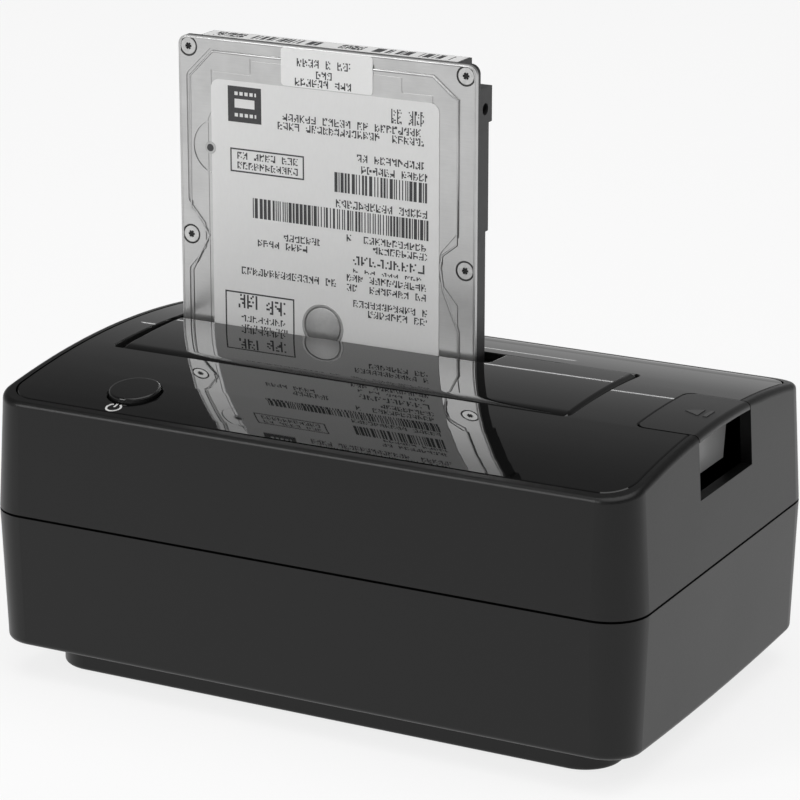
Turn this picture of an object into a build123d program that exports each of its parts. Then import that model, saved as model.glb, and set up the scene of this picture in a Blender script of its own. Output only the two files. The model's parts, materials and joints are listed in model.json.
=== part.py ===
from build123d import *

import os
from math import atan, cos, degrees, hypot, radians, sin, sqrt

# Hard drive docking station with one upright bay, and a 2.5 inch drive standing in it.
# Millimetres. +X runs along the casing to the eject lever, the front faces -Y, +Z is up,
# and the origin is on the table under the middle of the casing.

# Casing. It is widest at the joint line, and its walls lean in above and below that line.
body_length = 144.3
body_depth = 90.4
joint_height = 35.8
joint_gap = 0.5
lower_edge_height = 7.5
lower_lean = 1.0
top_edge_height = 59.5
top_arch = 4.3
upper_lean = 1.35
corner_radius = 8.5
edge_round = 1.25
casing_wall = 2.4
roof_wall = 1.8
belly = 1.1
bottom_round = 1.2
floor_thickness = 3.6
overrun = 5.0

# Tongue and rebate that hold the two housings in line.
tongue_wall = 1.0
tongue_height = 1.6
tongue_root = 2.2
tongue_clearance = 0.2

# Plinth and rubber feet.
plinth_end_inset = 9.05
plinth_side_inset = 9.1
plinth_corner = 8.0
plinth_wall = 2.2
plinth_floor = 2.2
plinth_round = 0.8
foot_stand = 0.8
foot_radius = 5.0
foot_recess = 0.8
foot_clearance = 0.1
foot_end_inset = 16.1
foot_side_inset = 13.1

# Case screws, up through plinth and lower housing into the posts of the upper housing.
case_screw_end_inset = 5.1
case_screw_side_inset = 7.6
case_screw_radius = 1.5
case_screw_head_radius = 2.7
case_screw_head = 1.8
case_screw_cover = 0.8
case_boss_radius = 3.6
case_boss_height = 3.0
case_post_radius = 3.2
case_screw_grip = 8.0
screw_clearance = 0.3
thread_clearance = 0.05
drive_recess_share = 0.45

# Glossy panel let into the top.
panel_rim = 2.1
panel_thickness = 1.5
panel_groove = 0.25
panel_edge = 0.25

# Mouth of the bay, and the bay's moulding under it.
mouth_length = 104.7
mouth_width = 35.1
mouth_end_inset = 10.55
mouth_shift = 5.65
mouth_corner = 1.6
bay_wall = 1.6
bay_back_relief = 0.3
bay_floor_lift = 5.2
bay_floor = 2.0
bay_lug_radius = 3.6
bay_lug_web = 0.9
bay_lug_depth = 17.8
bay_lug = 2.4
bay_lug_gap = 1.6
bay_lug_left_inset = 21.6
bay_lug_right_inset = 13.1
bay_post_radius = 2.8
bay_screw_radius = 1.25
bay_screw_head_radius = 2.3
bay_screw_head = 1.6
bay_screw_grip = 6.0

# Flap over the mouth, with its notch for a 2.5 inch drive.
flap_sink = 0.1
flap_thickness = 1.8
flap_gap = 0.6
flap_front_gap = 0.8
flap_back_gap = 0.5
flap_nose = 1.5
notch_front_gap = 0.8
notch_end_gap = 3.05
notch_corner = 2.0
flap_rib = 1.2
flap_rib_depth = 2.0
flap_rib_count = 5
hinge_inset = 2.6
hinge_depth = 5.4
hinge_pin_radius = 1.0
hinge_running = 0.08
knuckle_radius = 2.1
knuckle_web = 3.2
knuckle_length = 12.0
knuckle_inset = 5.0
pin_end_gap = 0.2

# Springs of the flap and of the lever.
spring_wire = 0.5
spring_gap = 0.12
spring_seat_gap = 0.15
flap_spring_radius = 2.0
flap_spring_turns = 6
flap_spring_leg = 7.0
flap_spring_foot = 4.5
flap_spring_slope = 6.0
flap_spring_inset = 23.1
lever_spring_radius = 2.35
lever_spring_turns = 4
lever_spring_side = 1.0
full_turn = 360.0

# Eject lever, its window in the right end wall and its pin.
lever_length = 14.85
lever_width = 25.1
lever_shift = 1.35
lever_gap = 0.3
lever_corner = 2.0
lever_plate = 1.5
lever_throw = 25.0
window_depth = 13.3
window_reveal = 3.0
web_inset = 6.15
web_thickness = 1.8
web_depth = 12.0
web_front_inset = 0.6
web_back_inset = 0.3
web_back_slope = 1.7
pivot_inset = 0.7
pivot_depth = 6.2
pivot_tube_radius = 1.9
pivot_pin_radius = 1.0
pivot_ear = 2.4
pivot_ear_gap = 0.5
pivot_ear_half = 2.6
arm_reach = 9.0
arm_drop = 4.4
arm_cheek = 2.0
arm_half = 1.6
cheek_gap = 0.55
trunnion_radius = 1.0
trunnion_running = 0.1

# Slide that lifts the drive off its connector when the lever is pressed.
slide_post_width = 6.0
slide_post_thickness = 6.0
slide_post_reach = 3.4
slide_head = 1.4
slide_plate = 3.0
slide_seat = 0.3
slide_bar_gap = 0.2
slide_bar_overhang = 1.1
slide_bar_back_gap = 0.4
slide_slot_gap = 0.4
slide_guide = 1.2
slide_guide_gap = 0.3
slide_guide_depth = 19.8
slide_lightening = 1.6

# Power button and the small board under it.
button_end_inset = 28.75
button_front_inset = 13.05
button_radius = 5.3
button_proud = 1.0
button_gap = 0.25
button_round = 0.5
button_flange = 1.2
button_flange_reach = 1.0
button_flange_drop = 1.4
button_stem_radius = 1.5
button_travel = 0.8
button_stem_gap = 1.0
switch_size = 6.0
switch_height = 3.5
plunger_radius = 1.6
plunger_height = 1.0
switch_board_length = 22.0
switch_board_depth = 11.0
switch_board_thickness = 1.2
switch_board_depth_below = 14.8
switch_post_radius = 2.1
switch_post_spread = 8.7
switch_screw_radius = 0.9
switch_screw_head_radius = 1.7
switch_screw_head = 1.2
switch_screw_grip = 4.0

# Main board and what stands on it.
board_end_gap = 18.75
board_front_gap = 3.8
board_back_gap = 0.8
board_corner = 2.0
board_lift = 4.0
board_thickness = 1.6
standoff_radius = 2.6
standoff_end_inset = 5.0
standoff_front_inset = 5.0
standoff_back_inset = 6.5
board_screw_radius = 1.25
board_screw_head_radius = 2.4
board_screw_head = 1.4
board_screw_grip = 3.2
chip_size = 10.0
chip_height = 1.4
chip_x = 2.0
chip_inset = 12.0
can_radius = 3.2
can_height = 8.0
can_lip = 0.4
can_x = 22.0
can_inset = 11.0
can_pitch = 8.5
can_count = 3
inductor_size = 7.0
inductor_height = 4.0
inductor_corner = 1.2
inductor_x = -22.0
inductor_inset = 11.0

# Ports through the back wall.
port_inset = 1.3
port_gap = 0.35
usb_x = 10.0
usb_width = 12.0
usb_height = 10.9
usb_depth = 16.5
usb_wall = 0.6
usb_cavity = 9.0
usb_chamfer = 2.2
usb_tongue_width = 6.0
usb_tongue_height = 3.2
usb_tongue_drop = 1.2
jack_x = 32.0
jack_width = 9.0
jack_height = 11.0
jack_depth = 14.0
jack_axis = 6.5
jack_collar_radius = 4.2
jack_collar = 3.4
jack_bore_radius = 2.9
jack_bore = 9.5
jack_pin_radius = 1.05
jack_pin_back = 0.8

# The drive: a 7 mm high 2.5 inch drive, which is what the size of everything else is read from.
drive_width = 69.85
drive_length = 100.2
drive_height = 7.0
drive_end_gap = 1.0
drive_back_gap = 1.2
drive_seat_gap = 0.3
drive_corner = 2.0
cover_sheet = 0.8
casting_back_step = 1.2
casting_step_length = 64.6
ear_notch_width = 4.6
ear_notch_length = 5.2
ear_notch_keep = 1.8
side_hole_low = 14.0
side_hole_high = 90.6
side_hole_back = 3.0
side_hole_radius = 1.25
side_hole_depth = 3.5
side_inset = 0.7
side_ear = 6.0

# Stamped cover of the drive, measured from its left edge and from its connector end.
groove_width = 0.8
groove_depth = 0.25
groove_round = 1.6
cover_left_edge = 1.8
cover_right_edge = 66.5
cover_top_edge = 98.1
cover_low_edge = 4.0
cover_corner_drop = 6.0
cover_corner_run = 6.0
cover_right_step = 2.3
field_line = 0.4
field_depth = 0.12
field_left = 6.9
field_right = 61.2
field_top = 93.4
field_low = 10.5
field_drop = 10.6
field_tab_left = 17.2
field_tab_right = 53.2
field_jog = 0.9
screw_bulge = 4.1
screw_bulge_half = 7.4
screw_bulge_tip = 2.6
cover_screw_inset = 2.4
cover_screw_high = 97.9
cover_screw_mid = 57.4
cover_screw_low = 2.6
cover_screw_radius = 0.8
cover_screw_head_radius = 1.75
cover_screw_head = 0.4
cover_screw_shank = 3.2
cover_screw_recess_radius = 2.15
cover_screw_recess = 0.45
torx_radius = 0.75
torx_depth = 0.25
pivot_disc_radius = 5.9
pivot_disc_left = 9.2
pivot_disc_up = 76.9
vent_radius = 0.8
vent_shift = 1.4
spindle_disc_radius = 4.7
spindle_left = 34.2
spindle_up = 41.1
disc_line = 0.35

# Labels of the drive, all bare.
label_sheet = 0.12
label_left = 7.8
label_right = 61.5
label_low = 10.0
label_top = 91.6
label_corner = 2.0
batch_left = 24.7
batch_right = 46.2
batch_low = 91.8
batch_top = 99.8
batch_corner = 0.8
end_label_left = 5.0
end_label_right = 64.8
end_label_front = 1.6
end_label_back = 6.4

# Back of the drive.
motor_radius = 14.0
motor_height = 0.9
motor_gap = 0.6
motor_boss_radius = 4.5
motor_boss = 0.25
drive_board_inset = 2.0
drive_board_thickness = 1.0
drive_board_seat = 0.05
drive_board_round = 1.5
drive_board_top = 62.8
drive_board_low = 0.8
plug_notch_gap = 0.4

# Connector of the drive, and the one that it stands on.
plug_centre = 25.6
plug_back = 3.0
plug_width = 42.6
plug_depth = 5.4
plug_height = 8.0
plug_cavity_width = 40.8
plug_cavity_depth = 4.2
plug_cavity = 6.0
plug_seat = 0.1
blade = 1.2
blade_set_back = 0.5
signal_width = 10.2
power_width = 20.6
blade_split = 2.4
blade_hook = 2.1
nose_clearance = 0.4
blade_clearance = 0.3
nose_entry = 5.0
nose_slot = 6.0
nose_flange = 1.5
nose_flange_height = 4.8
nose_round = 0.4

# Places that follow from the sizes above.
half_length = body_length / 2
half_depth = body_depth / 2
crown_height = top_edge_height + top_arch
arch_half = half_depth - upper_lean
arch_radius = (arch_half**2 + top_arch**2) / (2 * top_arch)
upper_taper = degrees(atan(upper_lean / (top_edge_height - joint_height)))
lower_taper = degrees(atan(lower_lean / (joint_height - lower_edge_height)))
belly_height = lower_edge_height - belly
floor_height = belly_height + floor_thickness
plinth_top = belly_height
plinth_length = body_length - 2 * plinth_end_inset
plinth_depth = body_depth - 2 * plinth_side_inset
roof_drop = panel_thickness + roof_wall
mouth_left = mouth_end_inset - half_length
mouth_right = mouth_left + mouth_length
mouth_front = mouth_shift - mouth_width / 2
mouth_back = mouth_shift + mouth_width / 2
mouth_x = mouth_left + mouth_length / 2
bay_back = mouth_back + bay_back_relief
hinge_y = mouth_front + hinge_inset
hinge_height = crown_height - hinge_depth
inner_end = half_length - lower_lean - casing_wall
inner_side = half_depth - lower_lean - casing_wall
board_left = board_end_gap - inner_end
board_right = inner_end - board_end_gap
board_front = board_front_gap - inner_side
board_back = inner_side - board_back_gap
board_bottom = floor_height + board_lift
board_top = board_bottom + board_thickness
bay_floor_top = board_top + bay_floor_lift
bay_lug_top = crown_height - bay_lug_depth
case_boss_top = floor_height + case_boss_height
case_post_bottom = case_boss_top
switch_board_top = crown_height - switch_board_depth_below
button_x = button_end_inset - half_length
button_y = button_front_inset - half_depth
port_back = half_depth - port_inset
lever_left = half_length - lever_length
lever_front = lever_shift - lever_width / 2
lever_back = lever_shift + lever_width / 2
pivot_x = lever_left + pivot_inset
pivot_z = crown_height - pivot_depth
web_outer = half_length - web_inset
web_foot = crown_height - web_depth
window_sill = crown_height - window_depth
trunnion_x = pivot_x - arm_reach
trunnion_z = pivot_z - arm_drop
drive_left = mouth_left + drive_end_gap
drive_back = mouth_back - drive_back_gap
drive_front = drive_back - drive_height
drive_right = drive_left + drive_width
slide_bottom = bay_floor_top + slide_seat
slide_travel = arm_reach * sin(radians(lever_throw)) + arm_drop * (1 - cos(radians(lever_throw)))
slide_post_left = trunnion_x - slide_post_reach
slide_post_right = slide_post_left + slide_post_thickness
slide_post_front = lever_shift - slide_post_width / 2
slide_post_back = lever_shift + slide_post_width / 2
slide_bar_front = drive_front - slide_bar_overhang
slide_bar_back = drive_back - slide_bar_back_gap
drive_bottom = slide_bottom + slide_plate + drive_seat_gap
drive_top = drive_bottom + drive_length
casting_front = drive_front + cover_sheet
casting_back = drive_back - casting_back_step
plug_x = drive_left + plug_centre
plug_y = drive_back - plug_back
plug_room_right = plug_x + plug_width / 2 + nose_flange
slide_bar_left = plug_room_right + slide_bar_gap
notch_front = drive_front - notch_front_gap
notch_right = drive_right + notch_end_gap
foot_x = plinth_length / 2 - foot_end_inset
foot_y = plinth_depth / 2 - foot_side_inset
case_screw_x = plinth_length / 2 - case_screw_end_inset
case_screw_y = plinth_depth / 2 - case_screw_side_inset
case_screw_places = GridLocations(2 * case_screw_x, 2 * case_screw_y, 2, 2).locations
bay_lug_left = mouth_left + bay_lug_left_inset
bay_lug_right = mouth_right - bay_lug_right_inset
bay_lug_front = mouth_front - bay_wall - bay_lug_gap - bay_lug_radius
bay_lug_back = bay_back + bay_wall + bay_lug_gap + bay_lug_radius
bay_lug_places = [
    (x, y) for x in (bay_lug_left, bay_lug_right) for y in (bay_lug_front, bay_lug_back)
]
standoff_places = [
    (x, y)
    for x in (board_left + standoff_end_inset, board_right - standoff_end_inset)
    for y in (board_front + standoff_front_inset, board_back - standoff_back_inset)
]
switch_post_places = [(button_x + side * switch_post_spread, button_y) for side in (-1, 1)]


def arch_height(y, drop=0):
    """Height of the arched top at a depth y, moved inwards by drop."""
    return crown_height - arch_radius + sqrt((arch_radius - drop) ** 2 - y**2)


def under_arch(drop, low, middle=0):
    """Side view of all that lies below the arched top moved inwards by drop, down to low."""
    front = middle - half_depth
    back = middle + half_depth
    with BuildSketch(Plane.YZ) as side:
        with BuildLine():
            edge = arch_height(half_depth, drop)
            arch = ThreePointArc((front, edge), (middle, crown_height - drop), (back, edge))
            Polyline(arch @ 1, (back, low), (front, low), arch @ 0)
        make_face()
    return side.sketch


def above_belly():
    """Side view of all that lies above the shallow arch of the underside."""
    half = half_depth - lower_lean
    high = joint_height + overrun
    with BuildSketch(Plane.YZ) as side:
        with BuildLine():
            arch = ThreePointArc(
                (-half, lower_edge_height), (0, belly_height), (half, lower_edge_height)
            )
            Polyline(
                arch @ 1,
                (half_depth, lower_edge_height),
                (half_depth, high),
                (-half_depth, high),
                (-half_depth, lower_edge_height),
                arch @ 0,
            )
        make_face()
    return side.sketch


def plan_box(left, right, front, back, height, corner=0):
    """Plan of a rectangle between four sides, at a height."""
    with BuildSketch(Plane.XY.offset(height)) as plan:
        with Locations(((left + right) / 2, (front + back) / 2)):
            if corner:
                RectangleRounded(right - left, back - front, corner)
            else:
                Rectangle(right - left, back - front)
    return plan.sketch


def discs(places, radius, height):
    """Plan of equal discs at a height."""
    with BuildSketch(Plane.XY.offset(height)) as plan:
        with Locations(*places):
            Circle(radius)
    return plan.sketch


def casing_plan(height, inset=0, down=False):
    """Plan of the casing at its joint line, drawn in by inset, facing up or down."""
    plane = Plane(origin=(0, 0, height), z_dir=(0, 0, -1 if down else 1))
    with BuildSketch(plane) as plan:
        RectangleRounded(body_length - 2 * inset, body_depth - 2 * inset, corner_radius - inset)
    return plan.sketch


def screws_up(places, tip, head_bottom, head, head_radius, shank_radius, recess_radius):
    """Equal screws that point up, with a cross-shaped driver recess in each head."""
    with BuildPart() as screws:
        extrude(discs(places, head_radius, head_bottom), amount=head)
        extrude(discs(places, shank_radius, head_bottom + head), amount=tip - head_bottom - head)
        with BuildSketch(Plane.XY.offset(head_bottom)) as recess:
            with Locations(*places):
                Rectangle(2 * recess_radius, recess_radius / 2)
                Rectangle(recess_radius / 2, 2 * recess_radius)
        extrude(amount=head / 2, mode=Mode.SUBTRACT)
    return screws.part


def torsion_coil(mean_radius, turns, first_leg, last_leg):
    """Close-wound torsion spring on the Z axis, with a straight leg at each end."""
    pitch = spring_wire + spring_gap
    with BuildPart() as spring:
        with BuildLine() as centre_line:
            coil = Helix(pitch, pitch * turns, mean_radius)
            Line(coil @ 0 - first_leg * (coil % 0), coil @ 0)
            Line(coil @ 1, coil @ 1 + last_leg * (coil % 1))
        path = centre_line.wire()
        with BuildSketch(Plane(origin=path @ 0, z_dir=path % 0)):
            Circle(spring_wire / 2)
        sweep(path=path)
    return spring.part


# Solid forms that several pieces are cut from.

with BuildPart() as top_form:
    extrude(
        casing_plan(joint_height), amount=crown_height + overrun - joint_height, taper=upper_taper
    )
    extrude(under_arch(0, joint_height), amount=body_length, both=True, mode=Mode.INTERSECT)
    fillet(faces().filter_by(GeomType.CYLINDER).sort_by(Axis.Z)[-1].edges(), edge_round)

with BuildPart() as top_hollow:
    extrude(
        casing_plan(joint_height, casing_wall),
        amount=crown_height + overrun - joint_height,
        taper=upper_taper,
    )
    extrude(under_arch(roof_drop, joint_height), amount=body_length, both=True, mode=Mode.INTERSECT)

with BuildPart() as panel_bed:
    with BuildSketch(Plane.XY.offset(joint_height)):
        RectangleRounded(
            body_length - 2 * (upper_lean + panel_rim),
            body_depth - 2 * (upper_lean + panel_rim),
            corner_radius - panel_rim,
        )
    extrude(amount=crown_height + overrun - joint_height)
    extrude(
        under_arch(panel_thickness, joint_height - overrun),
        amount=body_length,
        both=True,
        mode=Mode.SUBTRACT,
    )

# Posts and ears that hang from the roof of the upper housing.
ear_fronts = (lever_front - pivot_ear_gap - pivot_ear, lever_back + pivot_ear_gap)
with BuildPart() as roof_posts:
    case_post = discs(case_screw_places, case_post_radius, case_post_bottom)
    extrude(case_post, amount=crown_height - case_post_bottom)
    bay_post = discs(bay_lug_places, bay_post_radius, bay_lug_top)
    extrude(bay_post, amount=crown_height - bay_lug_top)
    switch_post = discs(switch_post_places, switch_post_radius, switch_board_top)
    extrude(switch_post, amount=crown_height - switch_board_top)
    for ear_front in ear_fronts:
        ear = plan_box(
            pivot_x - pivot_ear_half,
            pivot_x + pivot_ear_half,
            ear_front,
            ear_front + pivot_ear,
            pivot_z - pivot_ear_half,
        )
        extrude(ear, amount=crown_height - pivot_z)
    extrude(
        under_arch(panel_thickness + roof_wall / 2, 0),
        amount=body_length,
        both=True,
        mode=Mode.INTERSECT,
    )

# Upper housing: a leaning, arched shell with a bed for the glossy panel, the mouth of the bay,
# the window under the eject lever, and its posts.
with BuildPart() as top_shell:
    add(top_form.part)
    add(top_hollow.part, mode=Mode.SUBTRACT)
    add(panel_bed.part, mode=Mode.SUBTRACT)
    add(roof_posts.part)
    skin = plan_box(-half_length, half_length, -half_depth, half_depth, 0)
    extrude(skin, amount=joint_height + joint_gap / 2, mode=Mode.SUBTRACT)
    # The posts reach below the joint line, so they come back after that trim.
    extrude(case_post, amount=joint_height + joint_gap - case_post_bottom)
    # Rebate for the tongue of the lower housing.
    rebate = casing_wall - tongue_wall - tongue_clearance
    with BuildSketch(Plane.XY.offset(joint_height)):
        RectangleRounded(
            body_length - 2 * rebate, body_depth - 2 * rebate, corner_radius - rebate
        )
        with Locations(*case_screw_places):
            Circle(case_post_radius + tongue_wall, mode=Mode.SUBTRACT)
    extrude(amount=tongue_height + tongue_clearance, mode=Mode.SUBTRACT)
    # Mouth of the bay.
    mouth = plan_box(mouth_left, mouth_right, mouth_front, mouth_back, joint_height, mouth_corner)
    extrude(mouth, amount=crown_height, mode=Mode.SUBTRACT)
    # Opening for the lever in the roof, and the window below it in the end wall.
    lever_opening = plan_box(
        lever_left - lever_gap,
        half_length + overrun,
        lever_front - lever_gap,
        lever_back + lever_gap,
        pivot_z,
    )
    extrude(lever_opening, amount=crown_height, mode=Mode.SUBTRACT)
    window = plan_box(
        half_length - upper_lean - casing_wall - window_reveal,
        half_length + overrun,
        lever_front - lever_gap,
        lever_back + lever_gap,
        window_sill,
    )
    extrude(window, amount=crown_height, mode=Mode.SUBTRACT)
    # Button hole, pilot holes of the posts and the bore for the lever's pin.
    button_hole = discs([(button_x, button_y)], button_radius + button_gap, joint_height)
    extrude(button_hole, amount=crown_height, mode=Mode.SUBTRACT)
    pilot = discs(case_screw_places, case_screw_radius + thread_clearance, case_post_bottom)
    extrude(pilot, amount=case_screw_grip + overrun, mode=Mode.SUBTRACT)
    pilot = discs(bay_lug_places, bay_screw_radius + thread_clearance, bay_lug_top)
    extrude(pilot, amount=bay_screw_grip + thread_clearance, mode=Mode.SUBTRACT)
    pilot = discs(switch_post_places, switch_screw_radius + thread_clearance, switch_board_top)
    extrude(pilot, amount=switch_screw_grip + thread_clearance, mode=Mode.SUBTRACT)
    with BuildSketch(Plane.XZ.offset(-ear_fronts[0])):
        with Locations((pivot_x, pivot_z)):
            Circle(pivot_pin_radius + thread_clearance)
    extrude(amount=ear_fronts[0] - ear_fronts[1] - pivot_ear, mode=Mode.SUBTRACT)
top_shell.part.label = "top_shell"

# Glossy panel: an even skin that follows the arch, a groove's width inside its bed.
with BuildPart() as top_panel:
    with BuildSketch(Plane.XY.offset(joint_height)):
        RectangleRounded(
            body_length - 2 * (upper_lean + panel_rim + panel_groove),
            body_depth - 2 * (upper_lean + panel_rim + panel_groove),
            corner_radius - panel_rim - panel_groove,
        )
    extrude(amount=crown_height + overrun - joint_height)
    extrude(under_arch(0, joint_height), amount=body_length, both=True, mode=Mode.INTERSECT)
    extrude(
        under_arch(panel_thickness, joint_height - overrun),
        amount=body_length,
        both=True,
        mode=Mode.SUBTRACT,
    )
    extrude(mouth, amount=crown_height, mode=Mode.SUBTRACT)
    extrude(lever_opening, amount=crown_height, mode=Mode.SUBTRACT)
    extrude(button_hole, amount=crown_height, mode=Mode.SUBTRACT)
    chamfer(faces().filter_by(GeomType.CYLINDER).sort_by(Axis.Z)[-1].edges(), panel_edge)
top_panel.part.label = "top_panel"

# Lower housing: a tray whose walls lean in downwards over an arched underside.
with BuildPart() as bottom_shell:
    extrude(
        casing_plan(joint_height, down=True), amount=joint_height - belly_height, taper=lower_taper
    )
    extrude(above_belly(), amount=body_length, both=True, mode=Mode.INTERSECT)
    fillet(faces().filter_by(GeomType.CYLINDER).sort_by(Axis.Z)[0].edges(), bottom_round)
    land = plan_box(
        -plinth_length / 2 + plinth_wall,
        plinth_length / 2 - plinth_wall,
        -plinth_depth / 2 + plinth_wall,
        plinth_depth / 2 - plinth_wall,
        belly_height,
        plinth_corner - plinth_wall,
    )
    extrude(land, amount=floor_height - belly_height)
    extrude(
        casing_plan(joint_height, casing_wall, down=True),
        amount=joint_height - floor_height,
        taper=lower_taper,
        mode=Mode.SUBTRACT,
    )
    joint_trim = plan_box(
        -half_length, half_length, -half_depth, half_depth, joint_height - joint_gap / 2
    )
    extrude(joint_trim, amount=joint_gap, mode=Mode.SUBTRACT)
    # Tongue that stands up inside the upper housing's rebate.
    tongue_outer = casing_wall - tongue_wall
    with BuildSketch(Plane.XY.offset(joint_height - tongue_root)):
        RectangleRounded(
            body_length - 2 * tongue_outer, body_depth - 2 * tongue_outer, corner_radius - tongue_outer
        )
        RectangleRounded(
            body_length - 2 * casing_wall,
            body_depth - 2 * casing_wall,
            corner_radius - casing_wall,
            mode=Mode.SUBTRACT,
        )
    extrude(amount=tongue_root + tongue_height)
    # Screw bosses and the standoffs of the board.
    extrude(discs(case_screw_places, case_boss_radius, floor_height), amount=case_boss_height)
    extrude(discs(standoff_places, standoff_radius, floor_height), amount=board_lift)
    hole = discs(case_screw_places, case_screw_radius + screw_clearance, 0)
    extrude(hole, amount=joint_height, mode=Mode.SUBTRACT)
    pilot = discs(standoff_places, board_screw_radius + thread_clearance, board_bottom)
    extrude(pilot, amount=-board_screw_grip, mode=Mode.SUBTRACT)
    # Ports through the back wall.
    with BuildSketch(Plane.XZ.offset(-half_depth - overrun)):
        with Locations((usb_x, board_top + usb_height / 2)):
            Rectangle(usb_width + 2 * port_gap, usb_height + 2 * port_gap)
        with Locations((jack_x, board_top + jack_axis)):
            Circle(jack_collar_radius + port_gap)
    extrude(amount=overrun + casing_wall + corner_radius, mode=Mode.SUBTRACT)
bottom_shell.part.label = "bottom_shell"

# Plinth: a shallow tray, set back all round, with counterbored screw tubes and foot recesses.
with BuildPart() as base_plinth:
    with BuildSketch(Plane.XY.offset(foot_stand)):
        RectangleRounded(plinth_length, plinth_depth, plinth_corner)
    extrude(amount=plinth_top - foot_stand)
    fillet(faces().sort_by(Axis.Z)[0].edges(), plinth_round)
    with BuildSketch(Plane.XY.offset(foot_stand + plinth_floor)):
        RectangleRounded(
            plinth_length - 2 * plinth_wall, plinth_depth - 2 * plinth_wall, plinth_corner - plinth_wall
        )
    extrude(amount=plinth_top, mode=Mode.SUBTRACT)
    tube = discs(case_screw_places, case_boss_radius, foot_stand + plinth_floor)
    extrude(tube, amount=plinth_top - foot_stand - plinth_floor)
    hole = discs(case_screw_places, case_screw_radius + screw_clearance, 0)
    extrude(hole, amount=plinth_top, mode=Mode.SUBTRACT)
    counterbore = discs(case_screw_places, case_screw_head_radius + screw_clearance, 0)
    extrude(
        counterbore, amount=foot_stand + case_screw_cover + case_screw_head, mode=Mode.SUBTRACT
    )
    foot_places = GridLocations(2 * foot_x, 2 * foot_y, 2, 2).locations
    recess = discs(foot_places, foot_radius + foot_clearance, 0)
    extrude(recess, amount=foot_stand + foot_recess, mode=Mode.SUBTRACT)
base_plinth.part.label = "base_plinth"

with BuildPart() as rubber_feet:
    extrude(discs(foot_places, foot_radius, 0), amount=foot_stand + foot_recess)
    chamfer(faces().group_by(Axis.Z)[0].edges(), foot_stand / 2)
rubber_feet.part.label = "rubber_feet"

case_head_bottom = foot_stand + case_screw_cover
case_screws = screws_up(
    case_screw_places,
    case_post_bottom + case_screw_grip,
    case_head_bottom,
    case_screw_head,
    case_screw_head_radius,
    case_screw_radius,
    case_screw_head_radius * drive_recess_share,
)
case_screws.label = "case_screws"

# Bay: a deep box under the mouth, with a connector opening in its floor, a slot for the slide in
# its right wall, rails for the slide's post, screw lugs and the seats of the flap's pin.
with BuildPart() as drive_bay:
    outer = plan_box(
        mouth_left - bay_wall,
        mouth_right + bay_wall,
        mouth_front - bay_wall,
        bay_back + bay_wall,
        bay_floor_top - bay_floor,
    )
    extrude(outer, amount=crown_height)
    extrude(under_arch(roof_drop, 0), amount=body_length, both=True, mode=Mode.INTERSECT)
    room = plan_box(mouth_left, mouth_right, mouth_front, bay_back, bay_floor_top)
    extrude(room, amount=crown_height, mode=Mode.SUBTRACT)
    # Lugs on webs, front and back.
    for x, y in bay_lug_places:
        wall_y = mouth_front - bay_wall if y < 0 else bay_back + bay_wall
        extrude(discs([(x, y)], bay_lug_radius, bay_lug_top - bay_lug), amount=bay_lug)
        bridge = plan_box(
            x - bay_lug_radius, x + bay_lug_radius, min(y, wall_y), max(y, wall_y), bay_lug_top - bay_lug
        )
        extrude(bridge, amount=bay_lug)
        for web_x in (x - bay_lug_radius, x + bay_lug_radius - bay_lug_web):
            with BuildSketch(Plane.YZ.offset(web_x)):
                with BuildLine():
                    Polyline(
                        (wall_y, bay_lug_top - bay_lug),
                        (y, bay_lug_top - bay_lug),
                        (wall_y, bay_lug_top - bay_lug - bay_lug_radius - bay_lug_gap),
                        close=True,
                    )
                make_face()
            extrude(amount=bay_lug_web)
    # Rails each side of the slide's post.
    rail_right = slide_post_right
    for rail_front in (
        slide_post_front - slide_guide_gap - slide_guide,
        slide_post_back + slide_guide_gap,
    ):
        rail = plan_box(
            mouth_right, rail_right, rail_front, rail_front + slide_guide, bay_floor_top - bay_floor
        )
        rail_top = crown_height - slide_guide_depth
    extrude(rail, amount=rail_top - bay_floor_top + bay_floor)
    slide_leg_room = plan_box(
        mouth_right + bay_wall,
        slide_post_right + slide_guide,
        slide_post_front,
        slide_bar_back + slide_slot_gap,
        bay_floor_top,
    )
    leg_clear = slide_seat + slide_plate + slide_travel + slide_slot_gap
    extrude(slide_leg_room, amount=leg_clear, mode=Mode.SUBTRACT)
    # Slot in the right wall for the lifting bar.
    slot = plan_box(
        mouth_right - overrun,
        mouth_right + bay_wall + overrun,
        slide_bar_front - slide_slot_gap,
        slide_bar_back + slide_slot_gap,
        bay_floor_top,
    )
    extrude(slot, amount=leg_clear, mode=Mode.SUBTRACT)
    # Opening in the floor for the connector.
    connector_room = plan_box(
        plug_x - plug_width / 2 - nose_flange,
        plug_room_right,
        plug_y - plug_depth / 2 - nose_flange / 2,
        plug_y + plug_depth / 2 + nose_flange / 2,
        0,
    )
    extrude(connector_room, amount=bay_floor_top + bay_floor, mode=Mode.SUBTRACT)
    hole = discs(bay_lug_places, bay_screw_radius + screw_clearance, 0)
    extrude(hole, amount=crown_height, mode=Mode.SUBTRACT)
    with BuildSketch(Plane.YZ.offset(-half_length)):
        with Locations((hinge_y, hinge_height)):
            Circle(hinge_pin_radius + thread_clearance)
    extrude(amount=body_length, mode=Mode.SUBTRACT)
drive_bay.part.label = "drive_bay"

bay_screws = screws_up(
    bay_lug_places,
    bay_lug_top + bay_screw_grip,
    bay_lug_top - bay_lug - bay_screw_head,
    bay_screw_head,
    bay_screw_head_radius,
    bay_screw_radius,
    bay_screw_head_radius * drive_recess_share,
)
bay_screws.label = "bay_screws"

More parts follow.
